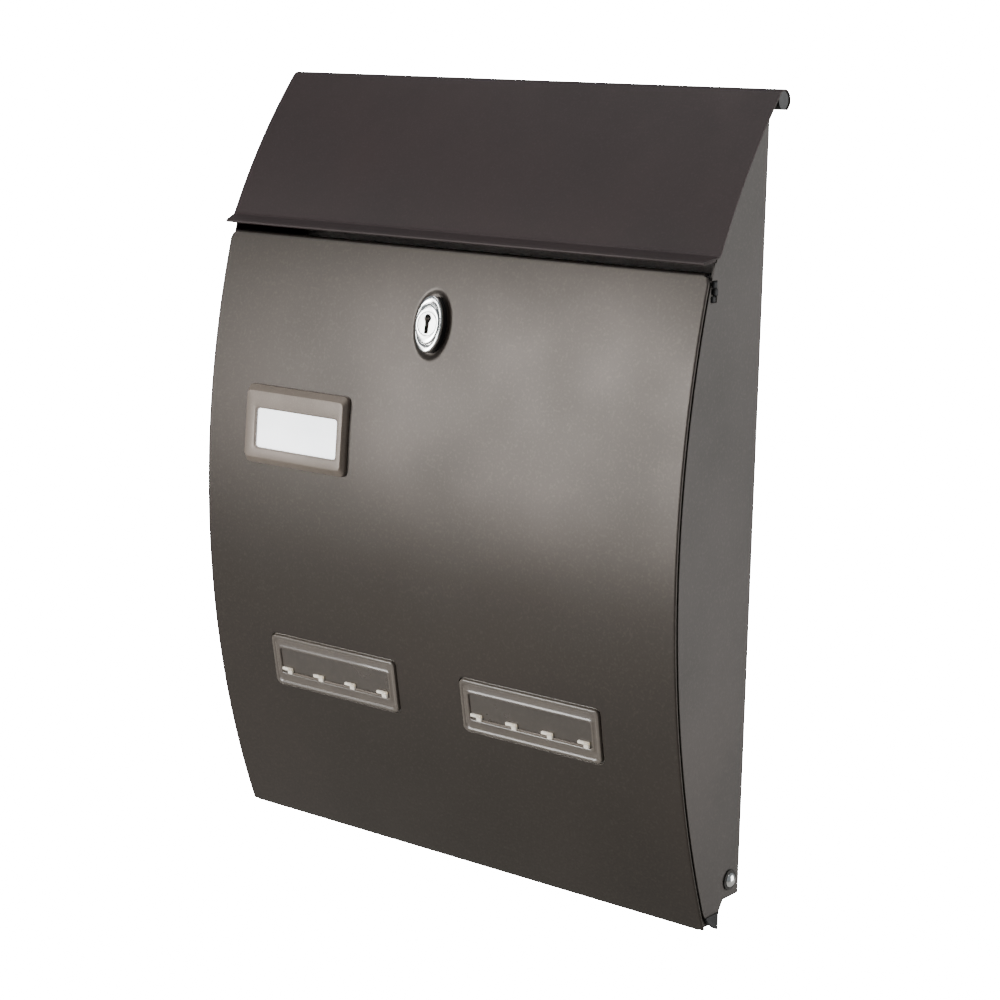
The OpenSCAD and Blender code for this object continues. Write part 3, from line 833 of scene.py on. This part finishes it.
    def fold_edge(
        self, bm: BMesh, rim: list[BMEdge], turn: float, lean: float, run: Vector
    ) -> None:
        """Folds an upper or lower edge back behind the face.

        Args:
            bm: The bent skin.
            rim: The edge to fold.
            turn: The fold's angle about X.
            lean: The face's lean at the edge.
            run: The straight stretch after the fold.
        """
        verts = list({v for e in rim for v in e.verts})
        inward = Vector((0, math.cos(lean), -math.sin(lean)))
        spun = bmesh.ops.spin(
            bm, geom=verts + rim, cent=verts[0].co + self.fold_radius * inward, axis=(1, 0, 0),
            angle=turn, steps=6,
        )
        verts, _ = extruded(bm, only(spun, BMEdge, "geom_last"))
        bmesh.ops.translate(bm, verts=verts, vec=run)

    def build(self) -> Thing:
        """Builds and dresses the door's sheet.

        Returns:
            The door's piece.
        """
        face = self.face
        top = face.along(face.head[1]) - self.low_trim
        bm = self.flat_skin(top)
        reach = self.fold_half + NEAR
        ends = {
            level: [
                e for e in bm.edges
                if all(abs(v.co.z - level) < NEAR and abs(v.co.x) < reach for v in e.verts)
            ]
            for level in (0.0, top)
        }
        self.fold_sides(bm)
        self.press_dish(bm)
        self.round_corners(bm, top)
        for vert in bm.verts:
            lift = self.low_trim * max(0.0, 1 - vert.co.z / self.trim_reach)
            vert.co = face.bent(vert.co.x, vert.co.y, vert.co.z + lift)
        head_lean, foot_lean = face.lean(face.head[1]), face.lean(face.foot[1])
        level = Vector((0, 1, 0))
        self.fold_edge(bm, ends[top], head_lean - math.pi / 2, head_lean, level * self.top_fold)
        run = Vector((0, 1, self.foot_rise)).normalized() * self.foot_fold
        self.fold_edge(bm, ends[0.0], math.pi / 2 + foot_lean + self.foot_rise, foot_lean, run)
        piece = Piece(
            "door_sheet", "door", "door_paint", DOOR_COAT, ("front_door",),
            sheet=self.wall, edge=self.rounding,
        )
        return piece.made(bm, self.datum.placed(), (0, -1, 0))


# ---- the lid ----


@dataclass
class Lid:
    """The curved roof: flared lip with a folded hem, gentle arc and rolled rear edge."""

    datum: Datum
    face: DoorFace
    rise: float = 76.7
    rod_back: float = 8.5
    radius: float = 340.0
    curl: float = 5.2
    curl_end: float = math.radians(-60)
    lip: float = 9.0
    lip_taper: float = 3.0
    slope: float = math.radians(15)
    slot: float = 4.0
    hem_back: float = 6.0
    half: float = 152.5
    bend_radius: float = 2.4
    bend_back: float = 4.1
    notches: tuple[float, float] = (82.0, 108.0)
    notch_back: float = 1.5
    taper_limit: float = 1.1
    wall: float = 0.76
    rounding: float = 0.15

    @property
    def rod(self) -> Vector:
        """Returns the hinge rod's (depth, height)."""
        return Vector((self.rod_back, self.face.head[1] + self.rise))

    @property
    def bend(self) -> Vector:
        """Returns where the arc meets the lip."""
        up = self.slot + 2 * SHEET + self.lip * math.sin(self.slope)
        return Vector((self.face.head[0] + self.bend_back, self.face.head[1] + up))

    @property
    def centre(self) -> Vector:
        """The arc's centre, from which the roll is tangent to it.

        Returns:
            The centre's (depth, height).
        """
        span = self.rod - self.bend
        inner = self.radius - self.curl
        along = (self.radius**2 - inner**2 + span.length_squared) / (2 * span.length)
        across = math.sqrt(self.radius**2 - along**2)
        way = span.normalized()
        return self.bend + along * way + across * Vector((way.y, -way.x))

    def section(self) -> BMesh:
        """Draws the lid's outer face from the roll's end to the hem's end.

        Returns:
            The chain of edges at x = 0.
        """
        bm = bmesh.new()
        centre, rod = self.centre, self.rod
        top = math.atan2(*(rod - centre).yx)
        chain = Chain(bm, rod + self.curl * unit(self.curl_end))
        chain.arc(rod, top - self.curl_end, 22)
        out = unit(math.pi + self.slope)
        up = Vector((out.y, -out.x))
        low = math.atan2(*(self.bend - centre).yx)
        start = centre + (self.radius - SHEET / 2) * unit(low) + up * SHEET / 2
        gap = start + self.bend_radius * up - centre
        reach = self.radius + self.bend_radius
        along = -gap.dot(out) + math.sqrt(gap.dot(out) ** 2 - gap.length_squared + reach**2)
        hollow = start + self.bend_radius * up + along * out
        leave = math.atan2(*(hollow - centre).yx)
        chain.arc(centre, leave - top, 44)
        chain.arc(hollow, math.pi + self.slope - (leave + math.pi / 2), 8)
        tip = start - up * SHEET / 2 + self.lip * out
        chain.line(tip + up * SHEET / 2)
        chain.arc(tip - up * SHEET / 2, math.pi, 8)
        chain.line(chain_end(chain) - self.hem_back * out)
        return bm

    def taper_lip(self, bm: BMesh) -> None:
        """Draws the lip's ends in towards its tip.

        Args:
            bm: The lid's sheet.
        """
        start = self.bend.x
        tip = start - self.lip * math.cos(self.slope)
        for vert in bm.verts:
            share = (start - vert.co.y) / (start - tip)
            if share > 0 and abs(vert.co.x) > self.half - 1:
                vert.co.x -= math.copysign(self.lip_taper * min(share, self.taper_limit), vert.co.x)

    def build(self) -> Thing:
        """Builds and dresses the lid's sheet.

        Returns:
            The lid's piece.
        """
        bm = self.section()
        near, far = self.notches
        ends = [-self.half, -far, -near, near, far, self.half]
        bmesh.ops.translate(bm, verts=bm.verts, vec=(ends[0], 0, 0))
        edges = list(bm.edges)
        for start, end in pairwise(ends):
            verts, edges = extruded(bm, edges)
            bmesh.ops.translate(bm, verts=verts, vec=(end - start, 0, 0))
        rod = self.rod
        cut = [
            f for f in bm.faces
            if near < abs(f.calc_center_median().x) < far
            and f.calc_center_median().y > rod.x - self.notch_back
            and f.calc_center_median().z < rod.y + self.curl / 2
            and f.calc_center_median().z > rod.y - 2 * self.curl
        ]
        bmesh.ops.delete(bm, geom=cut, context="FACES")
        self.taper_lip(bm)
        piece = Piece(
            "lid_sheet", "lid", "lid_paint", LID_COAT, ("lid",),
            sheet=self.wall, edge=self.rounding,
        )
        return piece.made(bm, self.datum.placed(), (0, -1, 1))


def chain_end(chain: Chain) -> Vector:
    """Returns the (depth, height) of a chain's last point."""
    return chain.tip.co.yz


# ---- fittings on the door ----


@dataclass
class Lock:
    """The cam lock's head: an oval chrome cap whose low flank is painted black as a dark reflection,
    with a round collar for the plug.
    """

    datum: Datum
    face: DoorFace
    x: float = -4.5
    height: float = 271.3
    bore: float = 11.62
    seat: float = -1.2
    barrel: float = 14.8
    barrel_end: float = -16.5
    dark_flank_top: float = 2.3
    dark_flank_reach: float = 8.0
    rings: tuple[tuple[float, float, float], ...] = (
        (16.5, 28.0, 2.3), (16.5, 28.0, 2.32), (16.5, 28.0, 2.9), (16.3, 27.8, 3.2), (15.9, 27.3, 3.42),
        (15.4, 26.5, 3.5), (15.2, 24.4, 3.56), (15.1, 22.2, 3.54), (15.0, 21.0, 3.3),
        (14.9, 20.4, 3.24), (14.7, 20.1, 3.4), (14.5, 19.9, 4.0), (14.1, 19.4, 4.3),
        (13.5, 18.4, 4.4), (12.6, 14.6, 4.4), (12.1, 12.1, 4.38),
        (11.85, 11.85, 4.25), (11.62, 11.62, 4.0),
    )

    def build(self) -> Thing:
        """Builds and dresses the lock's head and barrel.

        Returns:
            The lock's piece.
        """
        bm = bmesh.new()
        rings = Rings.oval(bm, *self.rings[0][:2], self.seat)
        for width, height, z in self.rings:
            rings.ring(width, height, z)
        rings.ring(self.bore, self.bore, self.barrel_end)
        rings.ring(self.barrel, self.barrel, self.barrel_end)
        rings.ring(self.barrel, self.barrel, self.seat)
        rings.close()
        # Faces of the low flank take the black moulding: a painted dark reflection, not a separate
        # black part
        for face in bm.faces:
            middle = face.calc_center_median()
            dark_reflection_flank = self.seat < middle.z < self.dark_flank_top and middle.xy.length > self.dark_flank_reach
            face.material_index = int(dark_reflection_flank)
        piece = Piece("lock_bezel", "door", "lock_chrome", CHROME, ("lock_housing",), smooth=40.0)
        made = piece.made(bm, self.datum.placed() @ self.face.on_face(self.x, self.height))
        # Second slot: black for the painted dark reflection on the flank
        made.data.materials.append(Wardrobe.material(BLACK_MOULDING))
        return made


@dataclass
class NamePlate:
    """The name plate's moulded surround."""

    datum: Datum
    face: DoorFace
    x: float = -86.1
    height: float = 210.3
    opening: tuple[float, float] = (1.6, -1.75)
    card: tuple[float, float] = (56.0, 20.5)
    outline: tuple[float, float] = (69.0, 41.0)
    seat: float = -0.3
    corner: float = 3.0
    profile: tuple[tuple[float, float, float], ...] = (
        (69.0, 41.0, 1.1), (68.7, 40.7, 1.6), (68.2, 40.0, 1.9), (66.8, 35.4, 3.75),
        (66.4, 34.8, 3.93), (65.9, 34.2, 4.0),
    )
    opening_edge: Points = (
        (1.6, 4.0), (1.0, 3.95), (0.3, 3.7), (0.0, 3.3), (0.0, -3.0), (3.2, -3.0), (3.2, -0.3),
    )

    def build(self) -> Thing:
        """Builds and dresses the surround.

        Returns:
            The surround's piece.
        """
        bm = bmesh.new()
        rings = Rings.box(bm, *self.outline, self.seat, self.corner)
        for width, height, z in self.profile:
            rings.ring(width, height, z)
        for over, z in self.opening_edge:
            rings.ring(self.card[0] + over, self.card[1] + over, z, self.opening)
        rings.close()
        piece = Piece(
            "name_surround", "door", "name_plastic", NAME_PLASTIC, ("name_frame",), smooth=28.0
        )
        return piece.made(bm, self.datum.placed() @ self.face.on_face(self.x, self.height))


class Side(Enum):
    """Which half of the door a window is in."""

    LEFT = -1
    RIGHT = 1


@dataclass
class Windows:
    """The two sight windows: glossy surrounds with twin rims, and a row of hooks in each."""

    datum: Datum
    face: DoorFace
    x: float = 64.0
    height: float = 83.5
    width: float = 85.0
    rise: float = 28.0
    pane: tuple[float, float] = (75.0, 14.0)
    seat: float = -1.226
    flange: float = 1.6
    flange_out: float = 4.0
    pane_face: float = 0.2
    shift: float = 1.2
    pitch: float = 22.0
    hook: tuple[float, float, float] = (6.6, 3.2, 1.4)
    hook_bar: float = 1.5
    hook_drop: float = 3.0
    hook_x: float = -0.6
    hook_steps: tuple[float, ...] = (-1.5, -0.5, 0.5, 1.5)
    hook_edge: float = 0.25
    rib: tuple[float, float] = (0.8, 0.7)
    rib_edge: float = 0.15
    corner: float = 3.0
    outer_rim: Points = (
        (0.0, 0.75), (0.15, 1.0), (0.5, 1.15), (0.9, 1.2), (1.3, 1.15), (1.7, 0.95), (2.0, 0.7),
    )
    inner_rim: Points = (
        (1.9, 0.66), (1.5, 0.9), (1.1, 1.1), (0.8, 1.14), (0.45, 1.08), (0.15, 0.85), (0.0, 0.5),
    )

    def place(self, side: Side) -> Matrix:
        """Returns the frame on the door's face at the middle of one window."""
        return self.face.on_face(side.value * self.x - self.shift, self.height)

    def surround(self, side: Side) -> Thing:
        """Builds and dresses one window's surround.

        Args:
            side: Which window.

        Returns:
            The surround's piece.
        """
        bm = bmesh.new()
        width, height = self.width, self.rise
        pane_w, pane_h = self.pane
        outer, back = 2 * self.flange_out, self.seat - self.flange
        rings = Rings.box(bm, width + outer, height + outer, back, self.corner)
        rings.ring(width + outer, height + outer, self.seat)
        rings.ring(width, height, self.seat)
        for inset, z in self.outer_rim:
            rings.ring(width - 2 * inset, height - 2 * inset, z)
        for inset, z in self.inner_rim:
            rings.ring(pane_w + 2 * inset, pane_h + 2 * inset, z)
        rings.ring(pane_w, pane_h, back)
        rings.close()
        name = f"window_surround_{side.name.lower()}"
        node = f"window_frame_{side.name.lower()}"
        piece = Piece(name, "door", "window_plastic", WINDOW_PLASTIC, (node,), smooth=34.0)
        return piece.made(bm, self.datum.placed() @ self.place(side))

    def hooks(self) -> Thing:
        """Builds and dresses both rows of hooks.

        Returns:
            The hooks' piece.
        """
        bm = bmesh.new()
        face, foot = self.pane_face, -self.pane[1] / 2
        wide, high, deep = self.hook
        for side in Side:
            before = set(bm.verts)
            for step in self.hook_steps:
                left = self.hook_x + step * self.pitch - wide / 2
                right, front = left + wide, face + deep
                top = (right, foot + high, front)
                block(bm, (left, foot + high - self.hook_bar, face), top, self.hook_edge)
                block(bm, (right - self.hook_drop, foot, face), top, self.hook_edge)
            hooks = set(bm.faces)
            reach = self.hook_steps[-1] * self.pitch
            low = (self.hook_x - reach, foot, face)
            end = (self.hook_x + reach, foot + self.rib[0], face + self.rib[1])
            block(bm, low, end, self.rib_edge)
            for rib_face in set(bm.faces) - hooks:
                rib_face.material_index = 1
            mine = [v for v in bm.verts if v not in before]
            bmesh.ops.transform(bm, matrix=self.place(side), verts=mine)
        piece = Piece("hook_rows", "door", "hook_plastic", HOOK_PLASTIC, ("window_hooks",))
        made = piece.made(bm, self.datum.placed())
        made.data.materials.append(Wardrobe.material(NAME_PLASTIC))
        return made


# ---- small fittings on the casing ----


@dataclass
class Fittings:
    """Pivot rivets, washers, bumpers, panel rivets and wall spacers."""

    datum: Datum
    pivot: tuple[float, float] = (-8.5, 9.0)
    half: float = 150.0
    inner: float = 149.2
    nubs: tuple[tuple[float, float, float], ...] = (
        (1.0, 6.6, 3.2), (1.8, 3.2, 3.2), (0.2, 0.2, 2.9),
    )
    nub_edge: float = 0.7
    tail: float = -3.1
    back_top: float = 370.0
    side_rivets: tuple[float, float] = (143.2, 60.0)
    foot_rivets: tuple[float, float] = (90.0, 6.8)
    bracket_rivets: Points = ((95.0, 355.0), (95.0, 364.0))
    screws: Points = ((110.0, 50.0), (110.0, 330.0))

    def on_pivots(self, outline: list[tuple[float, float]]) -> BMesh:
        """Turns a shape and sets it on both pivots.

        Args:
            outline: (radius, height) points, the height being along X from the side's face.

        Returns:
            The two shapes.
        """
        bm = bmesh.new()
        for side in (-1, 1):
            turn = Matrix.Rotation(side * math.pi / 2, 4, "Y")
            move = Matrix.Translation((side * self.half, *self.pivot)) @ turn
            turned(bm, outline, move)
        return bm

    @staticmethod
    def rearward(x: float, height: float) -> Matrix:
        """Returns the transform that stands a turned shape on the back panel, facing the wall."""
        return Matrix.Translation((x, 0, height)) @ Matrix.Rotation(-math.pi / 2, 4, "X")

    def rivets(self) -> Thing:
        """Builds the pivot rivets, each with a domed head and a spread tail.

        Returns:
            The rivets' piece.
        """
        tail = self.tail
        outline = [
            (0, 2.75), (1.3, 2.66), (2.4, 2.3), (3.2, 1.7), (3.6, 1.1), (3.66, 0.85), (2.5, 0.82),
            (2.5, tail), (4.0, tail), (3.9, tail - 0.8), (3.0, tail - 1.2), (0, tail - 1.2),
        ]
        piece = Piece("pivot_rivet_pair", "casing", "zinc", CHROME, ("pivot_rivets",), smooth=50.0)
        return piece.made(self.on_pivots(outline), self.datum.placed())

    def washers(self) -> Thing:
        """Builds the fibre washers under the rivets' heads.

        Returns:
            The washers' piece.
        """
        outline = [(2.5, 0), (5.1, 0), (5.2, 0.15), (5.2, 0.6), (5.0, 0.8), (2.5, 0.8), (2.5, 0)]
        piece = Piece("pivot_washer_pair", "casing", "dark_washer", FIBRE, ("pivot_washers",))
        return piece.made(self.on_pivots(outline), self.datum.placed())

    def bumpers(self) -> Thing:
        """Builds each side's ribbed rubber bumper, and the rubber foot below the panel.

        Returns:
            The rubber's piece.
        """
        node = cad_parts["door_bumpers"]
        bm = bmesh.new()
        bm.from_mesh(node.data)
        bmesh.ops.remove_doubles(bm, verts=bm.verts, dist=1e-6)
        bmesh.ops.dissolve_limit(bm, angle_limit=math.radians(1), verts=bm.verts, edges=bm.edges)
        bmesh.ops.transform(bm, matrix=self.datum.placed().inverted(), verts=bm.verts)
        upper = [v for v in bm.verts if v.co.z > 0]
        low = Vector(min(v.co[i] for v in upper) for i in range(3))
        high = Vector(max(v.co[i] for v in upper) for i in range(3))
        bmesh.ops.delete(bm, geom=upper, context="VERTS")
        for side in (-1, 1):
            near, far = sorted((side * self.inner, side * high.x))
            for back, up, size in self.nubs:
                front, foot = low.y + back, low.z + up
                block(bm, (near, front, foot), (far, front + size, foot + size), self.nub_edge)
        piece = Piece("bumper_pair", "casing", "black_rubber", RUBBER, ("door_bumpers",))
        return piece.made(bm, self.datum.placed())

    def panel_rivets(self) -> Thing:
        """Builds the low-headed rivets through the back panel.

        Returns:
            The rivets' piece.
        """
        bm = bmesh.new()
        outline = [
            (0, 1.2), (1.6, 1.1), (2.6, 0.75), (3.1, 0.25), (3.2, 0), (1.6, 0), (1.6, -1.6),
            (3.2, -1.6), (3.1, -1.9), (2.6, -2.4), (1.6, -2.7), (0, -2.8),
        ]
        x, foot = self.side_rivets
        gap = (self.back_top - 2 * foot) / 2
        spots = [(s * x, foot + i * gap) for s in (-1, 1) for i in range(3)]
        spots += [(s * self.foot_rivets[0], self.foot_rivets[1]) for s in (-1, 1)]
        spots += [(s * x, z) for s in (-1, 1) for x, z in self.bracket_rivets]
        for x, z in spots:
            turned(bm, outline, self.rearward(x, z), 24)
        piece = Piece(
            "panel_rivet_set", "casing", "casing_paint", CASING_COAT, ("casing_rivets",), smooth=50.0
        )
        return piece.made(bm, self.datum.placed())

    def spacers(self) -> Thing:
        """Builds the wall spacers, with a rounded rim at each end.

        Returns:
            The spacers' piece.
        """
        bm = bmesh.new()
        outline = [
            (3, 0.5), (3.5, 0), (7.3, 0), (7.8, 0.25), (8, 0.8), (8, 14.2), (7.8, 14.75), (7.3, 15),
            (3.5, 15), (3, 14.5), (3, 0.5),
        ]
        for side in (-1, 1):
            for x, z in self.screws:
                turned(bm, outline, self.rearward(side * x, z))
        piece = Piece("wall_spacer_set", "casing", "black_plastic", BLACK_MOULDING, ("wall_spacers",))
        return piece.made(bm, self.datum.placed())

    def build(self) -> list[Thing]:
        """Builds every small fitting."""
        return [self.rivets(), self.washers(), self.bumpers(), self.panel_rivets(), self.spacers()]


@dataclass
class PackedParts:
    """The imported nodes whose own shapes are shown."""

    finishes: tuple[tuple[Finish, tuple[str, ...]], ...] = (
        (CASING_COAT, (
            "back_panel", "side_panel_left", "side_panel_right", "bottom_panel", "slot_rail",
            "hinge_brackets",
        )),
        (ZINC, ("hinge_rod", "lock_nut", "lock_cam", "cam_nut")),
        (CHROME, ("lock_plug",)),
        (DOOR_COAT, ("door_ear_left", "door_ear_right")),
        (BLACK_MOULDING, ("rod_caps", "lid_bushes", "name_backplate")),
        (CARD, ("name_card",)),
        (CLEAR, ("name_lens",)),
        (PANE_PLASTIC, ("window_pane_left", "window_pane_right")),
    )

    def build(self) -> None:
        """Dresses each node."""
        for finish, nodes in self.finishes:
            Wardrobe.dress(finish, *nodes)


# ---- studio ----


@dataclass(frozen=True)
class Softbox:
    """A soft light that faces the object: its place and size in metres, its power in watts."""

    name: str
    spot: tuple[float, float, float]
    width: float
    height: float
    power: float


@dataclass
class Studio:
    """Camera, soft lights, a pale floor and a white surround."""

    eye: Vector = field(default_factory=lambda: Vector((0.7111, -0.9347, 0.2255)))
    right: Vector = field(default_factory=lambda: Vector((0.7875, 0.6160, 0.0186)))
    up: Vector = field(default_factory=lambda: Vector((-0.1388, 0.1478, 0.9792)))
    lens: float = 82.8
    sensor: float = 36.0
    clip: tuple[float, float] = (0.05, 50.0)
    floor_drop: float = 0.45
    floor_half: float = 4.0
    floor_colour: str = "B9B7B3"
    white: float = 30.0
    surround: tuple[float, float, float, float] = (0.9, 0.95, 1.0, 1.0)
    surround_strength: float = 0.32
    softboxes: tuple[Softbox, ...] = (
        Softbox("key", (-0.80, -1.51, 0.16), 0.62, 0.80, 32.0),
        Softbox("side_fill", (1.5, 0.9, 0.05), 1.2, 1.4, 28.0),
        Softbox("top", (-0.2, -0.4, 1.6), 1.2, 0.8, 12.0),
    )

    def camera(self) -> None:
        """Places the camera."""
        data = bpy.data.cameras.new("camera")
        data.lens, data.sensor_width = self.lens, self.sensor
        data.clip_start, data.clip_end = self.clip
        thing = bpy.data.objects.new("camera", data)
        bpy.context.scene.collection.objects.link(thing)
        right = self.right.normalized()
        back = right.cross(self.up).normalized()
        turn = Matrix((right, back.cross(right), back)).transposed().to_4x4()
        thing.matrix_world = Matrix.Translation(self.eye) @ turn
        bpy.context.scene.camera = thing

    @staticmethod
    def hang(box: Softbox) -> None:
        """Adds a soft light that faces the middle of the object.

        Args:
            box: The light.
        """
        data = bpy.data.lights.new(box.name, "AREA")
        data.shape, data.size, data.size_y = "RECTANGLE", box.width, box.height
        data.energy = box.power
        thing = bpy.data.objects.new(box.name, data)
        bpy.context.scene.collection.objects.link(thing)
        spot = Vector(box.spot)
        turn = spot.to_track_quat("Z", "Y").to_matrix().to_4x4()
        thing.matrix_world = Matrix.Translation(spot) @ turn

    def white_to_camera(self, tree: Tree, surface: Socket, output: str) -> None:
        """Shows a surface as plain white to the camera, and as itself to everything else.

        Args:
            tree: The node tree of the surround or the floor.
            surface: The shader that lights the object.
            output: The output node's kind.
        """
        seen = add(tree, "LightPath", {}).outputs["Is Camera Ray"]
        kind = "Background" if output == "OutputWorld" else "Emission"
        white = add(tree, kind, {"Color": (1, 1, 1, 1), "Strength": self.white}).outputs[0]
        mixed = add(tree, "MixShader", {0: seen, 1: surface, 2: white}).outputs[0]
        add(tree, output, {"Surface": mixed})

    def world(self) -> None:
        """Sets the dim grey surround that lights the object."""
        made = bpy.data.worlds.new("studio")
        bpy.context.scene.world = made
        made.use_nodes = True
        made.node_tree.nodes.clear()
        tree = made.node_tree
        inputs = {"Color": self.surround, "Strength": self.surround_strength}
        grey = add(tree, "Background", inputs).outputs[0]
        self.white_to_camera(tree, grey, "OutputWorld")

    def floor(self) -> None:
        """Lays the pale floor below the wall-hung box."""
        bm = bmesh.new()
        bmesh.ops.create_grid(bm, x_segments=1, y_segments=1, size=self.floor_half)
        mesh = bpy.data.meshes.new("floor")
        bm.to_mesh(mesh)
        bm.free()
        low, _ = CAD_BOX
        mesh.transform(Matrix.Translation((0, 0, low.z - self.floor_drop)))
        paint = bpy.data.materials.new("pale_floor")
        paint.use_nodes = True
        tree = paint.node_tree
        tree.nodes.clear()
        matt = add(tree, "BsdfDiffuse", {"Color": linear(self.floor_colour)}).outputs[0]
        self.white_to_camera(tree, matt, "OutputMaterial")
        mesh.materials.append(paint)
        thing = bpy.data.objects.new("floor", mesh)
        bpy.context.scene.collection.objects.link(thing)

    def build(self) -> None:
        """Sets up the whole studio."""
        self.camera()
        self.world()
        self.floor()
        for box in self.softboxes:
            self.hang(box)


def main() -> None:
    """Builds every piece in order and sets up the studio."""
    logging.basicConfig(level=logging.INFO, format="%(message)s", stream=sys.stdout)
    datum = Datum.from_frame()
    face = DoorFace()
    windows = Windows(datum, face)
    PackedParts().build()
    Door(datum, face).build()
    Lid(datum, face).build()
    Lock(datum, face).build()
    NamePlate(datum, face).build()
    for side in Side:
        windows.surround(side)
    windows.hooks()
    Fittings(datum).build()
    Studio().build()
    bpy.context.view_layer.update()


if __name__ == "__main__":
    main()
